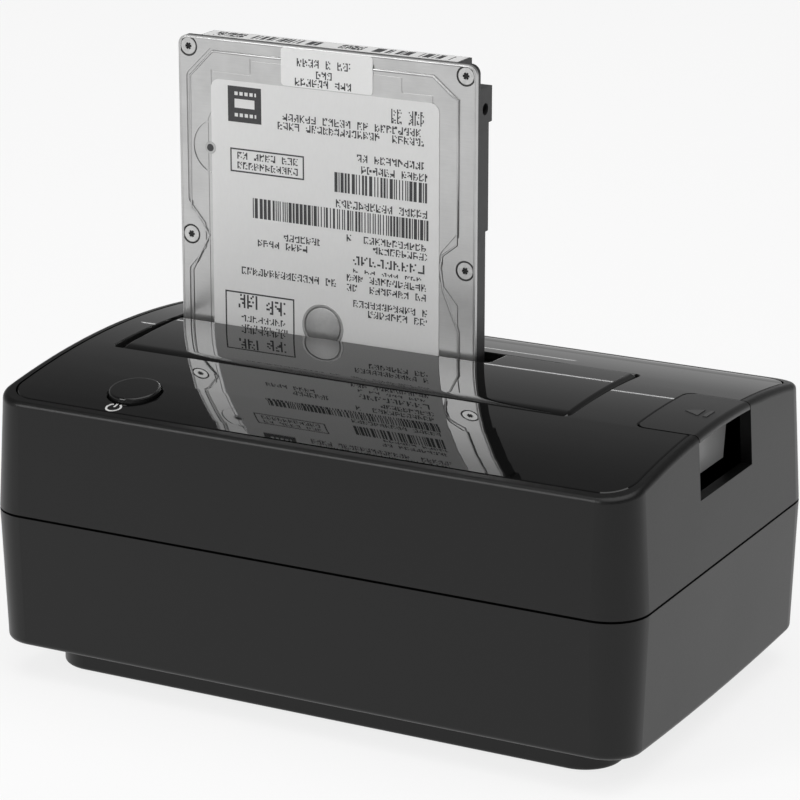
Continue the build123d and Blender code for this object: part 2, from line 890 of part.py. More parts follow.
# Flap: a plate over the whole mouth, arched about its own middle, so that its nose lies a little
# low and its back edge a little high. It is notched at the back left so that it stays shut round
# a 2.5 inch drive, and has ribs and hinge knuckles under it.
flap_left = mouth_left + flap_gap
flap_right = mouth_right - flap_gap
flap_front = mouth_front + flap_front_gap
flap_back = mouth_back - flap_back_gap

with BuildPart() as flap_under:
    first_rib = flap_left + knuckle_inset
    rib_pitch = (flap_right - knuckle_inset - first_rib) / (flap_rib_count - 1)
    for index in range(flap_rib_count):
        rib_x = first_rib + index * rib_pitch
        rib_back = (notch_front if rib_x < notch_right else flap_back) - flap_rib
        rib = plan_box(
            rib_x - flap_rib / 2, rib_x + flap_rib / 2, hinge_y, rib_back, hinge_height - flap_rib_depth
        )
        extrude(rib, amount=crown_height)
    knuckle_places = (
        flap_left + knuckle_inset + knuckle_length / 2,
        mouth_x,
        flap_right - knuckle_inset - knuckle_length / 2,
    )
    for x in knuckle_places:
        web = plan_box(
            x - knuckle_length / 2,
            x + knuckle_length / 2,
            hinge_y - knuckle_web / 2,
            hinge_y + knuckle_web / 2,
            hinge_height,
        )
        extrude(web, amount=crown_height)
    extrude(
        under_arch(flap_sink + flap_thickness / 2, 0, mouth_shift),
        amount=body_length,
        both=True,
        mode=Mode.INTERSECT,
    )
    # The ribs are as deep as flap_rib_depth under the plate, which curves.
    rib_trim = under_arch(flap_sink + flap_thickness + flap_rib_depth, 0, mouth_shift)
    extrude(rib_trim, amount=body_length, both=True, mode=Mode.SUBTRACT)
    for x in knuckle_places:
        with BuildSketch(Plane.YZ.offset(x - knuckle_length / 2)):
            with Locations((hinge_y, hinge_height)):
                Circle(knuckle_radius)
            with Locations((hinge_y, hinge_height + knuckle_radius)):
                Rectangle(knuckle_web, 2 * knuckle_radius)
        extrude(amount=knuckle_length)

with BuildPart() as bay_door:
    with BuildSketch(Plane.XY.offset(joint_height)):
        with Locations(((flap_left + flap_right) / 2, (flap_front + flap_back) / 2)):
            Rectangle(flap_right - flap_left, flap_back - flap_front)
        with Locations(
            ((flap_left + notch_right) / 2, (notch_front + flap_back) / 2)
        ):
            Rectangle(notch_right - flap_left, flap_back - notch_front, mode=Mode.SUBTRACT)
        fillet(vertices(), mouth_corner - flap_gap)
    extrude(amount=crown_height)
    plate_top = under_arch(flap_sink, joint_height, mouth_shift)
    extrude(plate_top, amount=body_length, both=True, mode=Mode.INTERSECT)
    extrude(
        under_arch(flap_sink + flap_thickness, joint_height - overrun, mouth_shift),
        amount=body_length,
        both=True,
        mode=Mode.SUBTRACT,
    )
    top_edges = faces().filter_by(GeomType.CYLINDER).sort_by(Axis.Z)[-1].edges()
    fillet(top_edges.filter_by(GeomType.LINE).sort_by(Axis.Y)[0], flap_nose)
    add(flap_under.part)
    with BuildSketch(Plane.YZ.offset(-half_length)):
        with Locations((hinge_y, hinge_height)):
            Circle(hinge_pin_radius + hinge_running)
    extrude(amount=body_length, mode=Mode.SUBTRACT)
bay_door.part.label = "bay_door"

with BuildPart() as door_pin:
    with BuildSketch(Plane.YZ.offset(mouth_left - bay_wall + pin_end_gap)):
        with Locations((hinge_y, hinge_height)):
            Circle(hinge_pin_radius)
    extrude(amount=mouth_length + 2 * (bay_wall - pin_end_gap))
    chamfer(edges().filter_by(GeomType.CIRCLE), pin_end_gap)
door_pin.part.label = "door_pin"

# Spring of the flap, wound round its pin: one leg stands down the bay's front wall, and the
# other lies back under the flap.
flap_coil = torsion_coil(
    flap_spring_radius,
    flap_spring_turns + 1 / 4 - flap_spring_slope / full_turn,
    flap_spring_foot,
    flap_spring_leg,
)
flap_coil_seat = Plane(
    origin=(mouth_right - flap_spring_inset, hinge_y, hinge_height),
    x_dir=(0, -1, 0),
    z_dir=(-1, 0, 0),
)
with BuildPart() as door_spring:
    with Locations(flap_coil_seat.location):
        add(flap_coil)
door_spring.part.label = "door_spring"


def lever_carrier():
    """Front view of a web that joins the pivot tube, the inner web and the key."""
    with BuildSketch(Plane.XZ) as view:
        with BuildLine():
            Polyline(
                (pivot_x - pivot_tube_radius / 2, pivot_z),
                (pivot_x + pivot_tube_radius, pivot_z),
                (web_outer - web_thickness, web_foot + arm_drop),
                (web_outer - web_thickness, web_top),
                (lever_left, web_top),
                close=True,
            )
        make_face()
    return view.sketch


def lever_cheek():
    """Front view of a cheek that tapers from the pivot tube down to the trunnion."""
    with BuildSketch(Plane.XZ) as view:
        with Locations((trunnion_x, trunnion_z)):
            Circle(arm_half)
        with BuildLine():
            Polyline(
                (trunnion_x, trunnion_z - arm_half),
                (pivot_x, pivot_z - pivot_tube_radius),
                (pivot_x, pivot_z + pivot_tube_radius),
                (trunnion_x, trunnion_z + arm_half),
                close=True,
            )
        make_face()
    return view.sketch


# Eject lever: a key that carries on the casing's rounded edge, an inner web that shows through
# the window, a pivot tube, and two cheeks that carry the trunnion in the slide's head.
web_top = crown_height - lever_plate - panel_edge
cheek_front = slide_post_front - cheek_gap - arm_cheek
cheek_back = slide_post_back + cheek_gap
carrier_fronts = (
    lever_front + web_back_inset,
    cheek_front,
    cheek_back,
    lever_back - web_back_inset - arm_cheek,
)
with BuildPart() as eject_lever:
    with BuildSketch(Plane.XY.offset(joint_height)) as key_plan:
        add(plan_box(lever_left, half_length + overrun, lever_front, lever_back, 0))
        fillet(key_plan.vertices().group_by(Axis.X)[0], lever_corner)
    extrude(amount=crown_height)
    add(top_form.part, mode=Mode.INTERSECT)
    extrude(
        under_arch(lever_plate, joint_height - overrun),
        amount=body_length,
        both=True,
        mode=Mode.SUBTRACT,
    )
    # Web, square in front and sloping in downwards at the back.
    with BuildSketch(Plane.YZ.offset(web_outer - web_thickness)):
        with BuildLine():
            Polyline(
                (lever_front + web_front_inset, web_foot),
                (lever_back - web_back_inset - web_back_slope, web_foot),
                (lever_back - web_back_inset, arch_height(lever_back, lever_plate / 2)),
                (0, crown_height - lever_plate / 2),
                (lever_front + web_front_inset, arch_height(lever_front, lever_plate / 2)),
                close=True,
            )
        make_face()
    extrude(amount=web_thickness)
    # Pivot tube and the webs that carry it under the key.
    tube_length = lever_back - lever_front - 2 * web_back_inset
    tube_plane = Plane.XZ.offset(-lever_front - web_back_inset)
    with BuildSketch(tube_plane):
        with Locations((pivot_x, pivot_z)):
            Circle(pivot_tube_radius)
    extrude(amount=-tube_length)
    for front in carrier_fronts:
        with Locations((0, front + arm_cheek, 0)):
            add(extrude(lever_carrier(), amount=arm_cheek, mode=Mode.PRIVATE))
    # Cheeks down to the trunnion, and the trunnion between them.
    for front in (cheek_front, cheek_back):
        with Locations((0, front + arm_cheek, 0)):
            add(extrude(lever_cheek(), amount=arm_cheek, mode=Mode.PRIVATE))
    with BuildSketch(Plane.XZ.offset(-cheek_front)):
        with Locations((trunnion_x, trunnion_z)):
            Circle(trunnion_radius)
    extrude(amount=-(cheek_back + arm_cheek - cheek_front))
    with BuildSketch(Plane.XZ.offset(half_depth)):
        with Locations((pivot_x, pivot_z)):
            Circle(pivot_pin_radius + hinge_running)
    extrude(amount=-body_depth, mode=Mode.SUBTRACT)
eject_lever.part.label = "eject_lever"

with BuildPart() as lever_pin:
    pin_reach = pivot_ear + pivot_ear_gap - pin_end_gap
    with BuildSketch(Plane.XZ.offset(-lever_front + pin_reach)):
        with Locations((pivot_x, pivot_z)):
            Circle(pivot_pin_radius)
    extrude(amount=-(lever_back - lever_front + 2 * pin_reach))
    chamfer(edges().filter_by(GeomType.CIRCLE), pin_end_gap)
lever_pin.part.label = "lever_pin"

# Return spring of the lever, wound round the pivot tube: one leg stands up under the key, the
# other under the roof.
lever_spring_y = cheek_front - lever_spring_side
lever_seat_gap = spring_wire / 2 + spring_seat_gap
lever_coil = torsion_coil(
    lever_spring_radius,
    lever_spring_turns + 1 / 2,
    arch_height(lever_spring_y, roof_drop) - pivot_z - lever_seat_gap,
    arch_height(lever_spring_y, lever_plate) - pivot_z - lever_seat_gap,
)
lever_coil_seat = Plane(
    origin=(pivot_x, lever_spring_y, pivot_z), x_dir=(-1, 0, 0), z_dir=(0, -1, 0)
)
with BuildPart() as lever_spring:
    with Locations(lever_coil_seat.location):
        add(lever_coil)
lever_spring.part.label = "lever_spring"

# Slide: a bar under the drive, a leg round the bay's corner, and a post up to the lever.
with BuildPart() as eject_slide:
    bar = plan_box(slide_bar_left, slide_post_right, slide_bar_front, slide_bar_back, slide_bottom)
    extrude(bar, amount=slide_plate)
    leg = plan_box(
        slide_post_left, slide_post_right, slide_post_front, slide_bar_back, slide_bottom
    )
    extrude(leg, amount=slide_plate)
    post = plan_box(
        slide_post_left, slide_post_right, slide_post_front, slide_post_back, slide_bottom
    )
    post_top = trunnion_z + trunnion_radius + slide_head
    extrude(post, amount=post_top - slide_bottom)
    # The post is a channel below its head.
    channel = plan_box(
        slide_post_left + slide_lightening,
        slide_post_right,
        slide_post_front + slide_lightening,
        slide_post_back - slide_lightening,
        slide_bottom + slide_plate,
    )
    channel_height = trunnion_z - trunnion_radius - slide_head - slide_bottom - slide_plate
    extrude(channel, amount=channel_height, mode=Mode.SUBTRACT)
    # Slot for the trunnion, which swings sideways a little as the lever turns.
    swing = hypot(arm_reach, arm_drop) - arm_reach
    with BuildSketch(Plane.XZ.offset(half_depth)):
        with Locations((trunnion_x - swing / 2, trunnion_z)):
            SlotCenterToCenter(swing + trunnion_running, 2 * (trunnion_radius + trunnion_running))
    extrude(amount=-body_depth, mode=Mode.SUBTRACT)
eject_slide.part.label = "eject_slide"

# Power button: a cap that stands proud of the panel, a flange that stops it, and a stem.
flange_top = arch_height(button_y, roof_drop) - button_flange_drop
with BuildPart() as power_button:
    cap = discs([(button_x, button_y)], button_radius, flange_top)
    extrude(cap, amount=crown_height)
    extrude(
        under_arch(-button_proud, flange_top), amount=body_length, both=True, mode=Mode.INTERSECT
    )
    fillet(faces().sort_by(Axis.Z)[-1].edges(), button_round)
    flange = discs([(button_x, button_y)], button_radius + button_flange_reach, flange_top)
    extrude(flange, amount=-button_flange)
    stem_bottom = switch_board_top + switch_height + plunger_height + button_stem_gap
    stem = discs([(button_x, button_y)], button_stem_radius, stem_bottom)
    extrude(stem, amount=flange_top - stem_bottom)
power_button.part.label = "power_button"

with BuildPart() as switch_board:
    board = plan_box(
        button_x - switch_board_length / 2,
        button_x + switch_board_length / 2,
        button_y - switch_board_depth / 2,
        button_y + switch_board_depth / 2,
        switch_board_top - switch_board_thickness,
    )
    extrude(board, amount=switch_board_thickness)
    fillet(edges().filter_by(Axis.Z), board_corner)
    hole = discs(switch_post_places, switch_screw_radius + screw_clearance, joint_height)
    extrude(hole, amount=crown_height, mode=Mode.SUBTRACT)
switch_board.part.label = "switch_board"

with BuildPart() as tact_switch:
    with BuildSketch(Plane.XY.offset(switch_board_top)):
        with Locations((button_x, button_y)):
            RectangleRounded(switch_size, switch_size, button_round)
    extrude(amount=switch_height)
    plunger = discs([(button_x, button_y)], plunger_radius, switch_board_top + switch_height)
    extrude(plunger, amount=plunger_height)
tact_switch.part.label = "tact_switch"

switch_screws = screws_up(
    switch_post_places,
    switch_board_top + switch_screw_grip,
    switch_board_top - switch_board_thickness - switch_screw_head,
    switch_screw_head,
    switch_screw_head_radius,
    switch_screw_radius,
    switch_screw_head_radius * drive_recess_share,
)
switch_screws.label = "switch_screws"

# Main board on its four standoffs, and what is soldered to it.
with BuildPart() as main_board:
    board = plan_box(board_left, board_right, board_front, board_back, board_bottom, board_corner)
    extrude(board, amount=board_thickness)
    hole = discs(standoff_places, board_screw_radius + screw_clearance, board_bottom)
    extrude(hole, amount=board_thickness, mode=Mode.SUBTRACT)
main_board.part.label = "main_board"

with BuildPart() as board_screws:
    extrude(discs(standoff_places, board_screw_head_radius, board_top), amount=board_screw_head)
    chamfer(faces().group_by(Axis.Z)[-1].edges(), board_screw_head / 3)
    shank = discs(standoff_places, board_screw_radius, board_top)
    extrude(shank, amount=-(board_thickness + board_screw_grip - thread_clearance))
    with BuildSketch(Plane.XY.offset(board_top + board_screw_head)):
        with Locations(*standoff_places):
            Rectangle(board_screw_head_radius, board_screw_head_radius / 4)
            Rectangle(board_screw_head_radius / 4, board_screw_head_radius)
    extrude(amount=-board_screw_head / 2, mode=Mode.SUBTRACT)
board_screws.part.label = "board_screws"

with BuildPart() as bridge_chip:
    with BuildSketch(Plane.XY.offset(board_top)):
        with Locations((chip_x, board_front + chip_inset)):
            Rectangle(chip_size, chip_size)
    extrude(amount=chip_height)
    chamfer(edges().filter_by(Axis.Z), chip_height / 2)
bridge_chip.part.label = "bridge_chip"

with BuildPart() as board_capacitors:
    can_row = board_front + can_inset
    can_places = [(can_x + index * can_pitch, can_row) for index in range(can_count)]
    extrude(discs(can_places, can_radius, board_top), amount=can_height)
    chamfer(faces().group_by(Axis.Z)[-1].edges(), can_lip)
board_capacitors.part.label = "board_capacitors"

with BuildPart() as power_inductor:
    with BuildSketch(Plane.XY.offset(board_top)):
        with Locations((inductor_x, board_front + inductor_inset)):
            RectangleRounded(inductor_size, inductor_size, inductor_corner)
    extrude(amount=inductor_height)
    chamfer(faces().sort_by(Axis.Z)[-1].edges(), inductor_corner / 3)
power_inductor.part.label = "power_inductor"

# Square data socket with its two upper corners cut off, and the tongue inside it.
with BuildPart() as usb_port:
    usb_plane = Plane.XZ.offset(-port_back)
    with BuildSketch(usb_plane):
        with Locations((usb_x, board_top + usb_height / 2)):
            Rectangle(usb_width, usb_height)
    extrude(amount=usb_depth)
    with BuildSketch(usb_plane) as cavity:
        with Locations((usb_x, board_top + usb_height / 2)):
            Rectangle(usb_width - 2 * usb_wall, usb_height - 2 * usb_wall)
        chamfer(cavity.vertices().group_by(Axis.Z)[-1], usb_chamfer)
        with Locations((usb_x, board_top + usb_height / 2 - usb_tongue_drop)):
            Rectangle(usb_tongue_width, usb_tongue_height, mode=Mode.SUBTRACT)
    extrude(amount=usb_cavity, mode=Mode.SUBTRACT)
usb_port.part.label = "usb_port"

# Power socket: a round collar in the wall, a bore, and the centre pin in it.
with BuildPart() as power_jack:
    jack_plane = Plane.XZ.offset(-port_back)
    jack_z = board_top + jack_axis
    with BuildSketch(jack_plane.offset(jack_collar)):
        with Locations((jack_x, board_top + jack_height / 2)):
            Rectangle(jack_width, jack_height)
    extrude(amount=jack_depth - jack_collar)
    with BuildSketch(jack_plane):
        with Locations((jack_x, jack_z)):
            Circle(jack_collar_radius)
    extrude(amount=jack_collar)
    with BuildSketch(jack_plane):
        with Locations((jack_x, jack_z)):
            Circle(jack_bore_radius)
    extrude(amount=jack_bore, mode=Mode.SUBTRACT)
    with BuildSketch(jack_plane.offset(jack_pin_back)):
        with Locations((jack_x, jack_z)):
            Circle(jack_pin_radius)
    extrude(amount=jack_bore - jack_pin_back)
power_jack.part.label = "power_jack"


def blades(height, clearance=0):
    """Plan of the signal blade and the power blade, each with its keying hook."""
    total = signal_width + blade_split + power_width
    signal_left = plug_x - total / 2
    power_left = signal_left + signal_width + blade_split
    with BuildSketch(Plane.XY.offset(height)) as plan:
        for left, width in ((signal_left, signal_width), (power_left, power_width)):
            with Locations((left + width / 2, plug_y)):
                Rectangle(width + 2 * clearance, blade + 2 * clearance)
            hook = (blade_hook - blade) / 2
            with Locations((left + width - blade / 2, plug_y - hook)):
                Rectangle(blade + 2 * clearance, blade_hook + 2 * clearance)
    return plan.sketch


# Receptacle that the drive stands on: a tall nose with the two keyed slots, on a flange.
nose_width = plug_cavity_width - 2 * nose_clearance
nose_depth = plug_cavity_depth - 2 * nose_clearance
nose_top = drive_bottom + nose_entry
with BuildPart() as sata_receptacle:
    with BuildSketch(Plane.XY.offset(board_top)):
        with Locations((plug_x, plug_y)):
            Rectangle(nose_width, nose_depth)
    extrude(amount=nose_top - board_top)
    chamfer(faces().sort_by(Axis.Z)[-1].edges(), nose_round)
    with BuildSketch(Plane.XY.offset(board_top)):
        with Locations((plug_x, plug_y)):
            Rectangle(nose_width + 2 * nose_flange, nose_depth + nose_flange)
    extrude(amount=nose_flange_height)
    extrude(blades(nose_top, blade_clearance), amount=-nose_slot, mode=Mode.SUBTRACT)
sata_receptacle.part.label = "sata_receptacle"


# The drive stands on its connector end with its cover to the front.
def drive_view(depth):
    """Plane of the drive's cover side: x from its left edge, y up from its connector end."""
    return Plane(origin=(drive_left, depth, drive_bottom), x_dir=(1, 0, 0), z_dir=(0, -1, 0))


def drive_outline(depth, inset=0):
    """Front view of the drive's outline at a depth."""
    with BuildSketch(drive_view(depth)) as view:
        with Locations((drive_width / 2, drive_length / 2)):
            RectangleRounded(drive_width - 2 * inset, drive_length - 2 * inset, drive_corner - inset)
    return view.sketch


cover_screw_places = [
    (side, up)
    for side in (cover_screw_inset, drive_width - cover_screw_inset)
    for up in (cover_screw_low, cover_screw_mid, cover_screw_high)
]

# Cast frame, open at the connector end for the plug, stepped at its back for the board, thinned
# at its top corners, and drawn in at its sides between the ears that hold the side holes.
with BuildPart() as drive_casting:
    extrude(drive_outline(drive_back), amount=drive_back - casting_front)
    with BuildSketch(drive_view(drive_back)):
        with Locations((drive_width / 2, casting_step_length / 2)):
            Rectangle(drive_width, casting_step_length)
    extrude(amount=casting_back_step, mode=Mode.SUBTRACT)
    with BuildSketch(drive_view(drive_back)):
        with Locations(
            (ear_notch_width / 2, drive_length - ear_notch_length / 2),
            (drive_width - ear_notch_width / 2, drive_length - ear_notch_length / 2),
        ):
            Rectangle(ear_notch_width, ear_notch_length)
    extrude(amount=drive_height - ear_notch_keep, mode=Mode.SUBTRACT)
    # Sides between the ears.
    low = side_hole_low + side_ear / 2
    high = side_hole_high - side_ear / 2
    with BuildSketch(drive_view(drive_back)):
        with Locations(
            (side_inset / 2, (low + high) / 2), (drive_width - side_inset / 2, (low + high) / 2)
        ):
            Rectangle(side_inset, high - low)
    extrude(amount=drive_height - cover_sheet - ear_notch_keep, mode=Mode.SUBTRACT)
    # Threaded side holes.
    for plane in (
        Plane(origin=(drive_left, 0, 0), z_dir=(-1, 0, 0), x_dir=(0, -1, 0)),
        Plane(origin=(drive_right, 0, 0), z_dir=(1, 0, 0), x_dir=(0, 1, 0)),
    ):
        hole_y = (drive_back - side_hole_back) * plane.x_dir.Y
        with BuildSketch(plane):
            with Locations(
                (hole_y, drive_bottom + side_hole_low), (hole_y, drive_bottom + side_hole_high)
            ):
                Circle(side_hole_radius)
        extrude(amount=-side_hole_depth, mode=Mode.SUBTRACT)
    # Room for the plug, and pilot holes of the cover's screws.
    plug_room = plan_box(
        plug_x - plug_width / 2 - plug_seat,
        plug_x + plug_width / 2 + plug_seat,
        plug_y - plug_depth / 2 - plug_seat,
        plug_y + plug_depth / 2 + plug_seat,
        drive_bottom,
    )
    extrude(plug_room, amount=plug_height + plug_seat, mode=Mode.SUBTRACT)
    with BuildSketch(drive_view(casting_front)):
        with Locations(*cover_screw_places):
            Circle(cover_screw_radius + thread_clearance)
    extrude(amount=-cover_screw_shank, mode=Mode.SUBTRACT)
drive_casting.part.label = "drive_casting"


def cover_groove(depth):
    """The stamped line round the cover, which steps in round the middle screws."""
    low_right = cover_right_edge
    mid = cover_screw_mid
    with BuildSketch(drive_view(depth)) as view:
        with BuildLine() as line:
            Polyline(
                (cover_left_edge, cover_low_edge + cover_corner_drop),
                (cover_left_edge, mid - screw_bulge_half),
                (cover_left_edge + screw_bulge, mid - screw_bulge_tip),
                (cover_left_edge + screw_bulge, mid + screw_bulge_tip),
                (cover_left_edge, mid + screw_bulge_half),
                (cover_left_edge, cover_top_edge - cover_corner_drop),
                (cover_left_edge + cover_corner_run, cover_top_edge),
                (low_right - cover_corner_run, cover_top_edge),
                (low_right - cover_right_step, cover_top_edge - cover_corner_drop / 2),
                (low_right, cover_top_edge - cover_corner_drop + cover_right_step / 2),
                (low_right, mid + screw_bulge_half),
                (low_right - screw_bulge, mid + screw_bulge_tip),
                (low_right - screw_bulge, mid - screw_bulge_tip),
                (low_right, mid - screw_bulge_half),
                (low_right, cover_low_edge + cover_corner_drop),
                (low_right - cover_corner_run, cover_low_edge),
                (cover_left_edge + cover_corner_run, cover_low_edge),
                close=True,
            )
        make_face()
        fillet(view.vertices(), groove_round)
        offset(amount=-groove_width, mode=Mode.SUBTRACT)
    return view.sketch


def cover_field(depth):
    """The finer line round the cover's raised field, which jogs in at its top corners."""
    with BuildSketch(drive_view(depth)) as view:
        with BuildLine():
            Polyline(
                (field_left, field_low),
                (field_left, field_top - field_drop),
                (field_left + field_jog, field_top - field_drop + 2 * field_jog),
                (field_left + field_jog, field_top),
                (field_tab_left, field_top),
                (field_tab_left, cover_top_edge - 2 * groove_width),
                (field_tab_right, cover_top_edge - 2 * groove_width),
                (field_tab_right, field_top),
                (field_right - field_jog, field_top),
                (field_right - field_jog, field_top - field_drop + 2 * field_jog),
                (field_right, field_top - field_drop),
                (field_right, field_low),
                close=True,
            )
        make_face()
        offset(amount=-field_line, mode=Mode.SUBTRACT)
    return view.sketch


# Stamped cover: a sheet with a line pressed round it, a raised field, two pressed discs, a vent
# and screw seats.
with BuildPart() as drive_cover:
    extrude(drive_outline(casting_front), amount=cover_sheet)
    extrude(cover_groove(drive_front), amount=-groove_depth, mode=Mode.SUBTRACT)
    extrude(cover_field(drive_front), amount=-field_depth, mode=Mode.SUBTRACT)
    with BuildSketch(drive_view(drive_front)):
        for left, up, radius in (
            (pivot_disc_left, pivot_disc_up, pivot_disc_radius),
            (spindle_left, spindle_up, spindle_disc_radius),
        ):
            with Locations((left, up)):
                Circle(radius)
                Circle(radius - disc_line, mode=Mode.SUBTRACT)
    extrude(amount=-groove_depth, mode=Mode.SUBTRACT)
    with BuildSketch(drive_view(drive_front)):
        with Locations((pivot_disc_left - vent_shift, pivot_disc_up)):
            Circle(vent_radius)
    extrude(amount=-cover_sheet, mode=Mode.SUBTRACT)
    with BuildSketch(drive_view(drive_front)):
        with Locations(*cover_screw_places):
            Circle(cover_screw_recess_radius)
    extrude(amount=-cover_screw_recess, mode=Mode.SUBTRACT)
    with BuildSketch(drive_view(drive_front)):
        with Locations(*cover_screw_places):
            Circle(cover_screw_radius + thread_clearance)
    extrude(amount=-cover_sheet, mode=Mode.SUBTRACT)
drive_cover.part.label = "drive_cover"

with BuildPart() as drive_cover_screws:
    head_seat = drive_front + cover_screw_recess
    with BuildSketch(drive_view(head_seat)):
        with Locations(*cover_screw_places):
            Circle(cover_screw_head_radius)
    extrude(amount=cover_screw_head)
    with BuildSketch(drive_view(head_seat)):
        with Locations(*cover_screw_places):
            Circle(cover_screw_radius)
    extrude(amount=-cover_screw_shank)
    with BuildSketch(drive_view(head_seat - cover_screw_head)):
        with Locations(*cover_screw_places):
            for turn in range(3):
                Rectangle(2 * torx_radius, torx_radius * 2 / 3, rotation=turn * full_turn / 6)
    extrude(amount=-torx_depth, mode=Mode.SUBTRACT)
drive_cover_screws.part.label = "drive_cover_screws"


def cover_label(left, right, low, top, corner):
    """A bare label on the drive's cover."""
    with BuildPart() as label:
        with BuildSketch(drive_view(drive_front)):
            with Locations(((left + right) / 2, (low + top) / 2)):
                RectangleRounded(right - left, top - low, corner)
        extrude(amount=label_sheet)
    return label.part


drive_label = cover_label(label_left, label_right, label_low, label_top, label_corner)
drive_label.label = "drive_label"
drive_batch_label = cover_label(batch_left, batch_right, batch_low, batch_top, batch_corner)
drive_batch_label.label = "drive_batch_label"

with BuildPart() as drive_end_label:
    strip = plan_box(
        drive_left + end_label_left,
        drive_left + end_label_right,
        drive_front + end_label_front,
        drive_front + end_label_back,
        drive_top,
    )
    extrude(strip, amount=label_sheet)
drive_end_label.part.label = "drive_end_label"

# Motor in the middle of the drive's back, with the board round it.
with BuildPart() as spindle_motor:
    with BuildSketch(drive_view(casting_back)):
        with Locations((spindle_left, spindle_up)):
            Circle(motor_radius)
    extrude(amount=-motor_height)
    chamfer(faces().sort_by(Axis.Y)[-1].edges(), motor_height / 3)
    with BuildSketch(drive_view(casting_back + motor_height)):
        with Locations((spindle_left, spindle_up)):
            Circle(motor_boss_radius)
    extrude(amount=-motor_boss)
spindle_motor.part.label = "spindle_motor"

with BuildPart() as drive_board:
    board_seat = casting_back + drive_board_seat
    with BuildSketch(drive_view(board_seat)) as drive_board_view:
        with Locations((drive_width / 2, (drive_board_low + drive_board_top) / 2)):
            Rectangle(drive_width - 2 * drive_board_inset, drive_board_top - drive_board_low)
        fillet(drive_board_view.vertices(), drive_board_round)
        with Locations((spindle_left, spindle_up)):
            Circle(motor_radius + motor_gap, mode=Mode.SUBTRACT)
        with Locations((plug_centre, plug_height / 2)):
            Rectangle(plug_width + 2 * plug_notch_gap, plug_height + 2 * plug_notch_gap, mode=Mode.SUBTRACT)
    extrude(amount=-drive_board_thickness)
drive_board.part.label = "drive_board"

# Plug of the drive: a black frame in the casting with the two keyed blades inside it.
with BuildPart() as drive_connector:
    with BuildSketch(Plane.XY.offset(drive_bottom)):
        with Locations((plug_x, plug_y)):
            Rectangle(plug_width, plug_depth)
    extrude(amount=plug_height)
    with BuildSketch(Plane.XY.offset(drive_bottom)):
        with Locations((plug_x, plug_y)):
            Rectangle(plug_cavity_width, plug_cavity_depth)
    extrude(amount=plug_cavity, mode=Mode.SUBTRACT)
    extrude(blades(drive_bottom + blade_set_back), amount=plug_cavity - blade_set_back)
drive_connector.part.label = "drive_connector"

finished = [
    piece.part
    for piece in (
        top_shell,
        top_panel,
        bottom_shell,
        base_plinth,
        rubber_feet,
        drive_bay,
        bay_door,
        door_pin,
        door_spring,
        eject_lever,
        lever_pin,
        lever_spring,
        eject_slide,
        power_button,
        switch_board,
        tact_switch,
        main_board,
        board_screws,
        bridge_chip,
        board_capacitors,
        power_inductor,
        usb_port,
        power_jack,
        sata_receptacle,
        drive_casting,
        drive_cover,
        drive_cover_screws,
        drive_end_label,
        spindle_motor,
        drive_board,
        drive_connector,
    )
] + [case_screws, bay_screws, switch_screws, drive_label, drive_batch_label]

os.makedirs("parts", exist_ok=True)
for piece in finished:
    export_step(piece, f"parts/{piece.label}.step")
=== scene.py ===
import json
import math
import random

import bpy
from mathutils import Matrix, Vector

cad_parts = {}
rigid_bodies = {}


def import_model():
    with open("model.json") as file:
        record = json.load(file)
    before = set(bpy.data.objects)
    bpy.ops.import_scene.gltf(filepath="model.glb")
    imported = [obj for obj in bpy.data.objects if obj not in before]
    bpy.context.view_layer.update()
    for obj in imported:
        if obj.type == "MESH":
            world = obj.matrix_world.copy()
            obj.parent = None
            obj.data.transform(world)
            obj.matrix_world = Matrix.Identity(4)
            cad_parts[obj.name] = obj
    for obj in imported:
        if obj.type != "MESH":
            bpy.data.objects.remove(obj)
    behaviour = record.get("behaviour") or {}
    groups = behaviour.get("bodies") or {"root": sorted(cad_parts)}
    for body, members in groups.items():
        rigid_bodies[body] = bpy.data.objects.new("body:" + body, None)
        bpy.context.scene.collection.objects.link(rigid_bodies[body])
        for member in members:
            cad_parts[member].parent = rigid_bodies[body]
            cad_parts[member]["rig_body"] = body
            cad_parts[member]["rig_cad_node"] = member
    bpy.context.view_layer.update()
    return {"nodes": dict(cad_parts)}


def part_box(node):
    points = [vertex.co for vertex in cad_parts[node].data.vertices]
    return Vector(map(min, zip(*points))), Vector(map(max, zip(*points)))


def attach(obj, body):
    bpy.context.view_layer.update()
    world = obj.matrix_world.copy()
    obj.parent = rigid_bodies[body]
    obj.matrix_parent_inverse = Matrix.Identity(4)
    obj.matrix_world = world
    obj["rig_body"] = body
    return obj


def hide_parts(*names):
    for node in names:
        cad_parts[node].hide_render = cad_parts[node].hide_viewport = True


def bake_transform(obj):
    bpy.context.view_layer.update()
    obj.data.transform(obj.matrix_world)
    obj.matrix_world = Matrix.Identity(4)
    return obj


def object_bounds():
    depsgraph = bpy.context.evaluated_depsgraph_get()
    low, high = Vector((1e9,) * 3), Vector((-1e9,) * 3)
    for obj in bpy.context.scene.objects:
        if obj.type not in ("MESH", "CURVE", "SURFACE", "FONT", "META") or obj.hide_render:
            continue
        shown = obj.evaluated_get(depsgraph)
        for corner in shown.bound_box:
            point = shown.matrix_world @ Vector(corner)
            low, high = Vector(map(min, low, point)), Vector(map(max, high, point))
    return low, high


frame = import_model()
nodes = frame["nodes"]
mm = 0.001

# The view
# A long lens a little above the station, from the front and right, as the photograph was
# taken. The place comes from the edges of the drive, whose size is a standard one.

focal_length, film_width = 159.16, 36.0
camera_place = (321.38 * mm, -607.37 * mm, 270.55 * mm)
camera_drop, camera_turn = math.radians(17.235), math.radians(27.90)
nearest_seen, furthest_seen = 0.05, 60.0

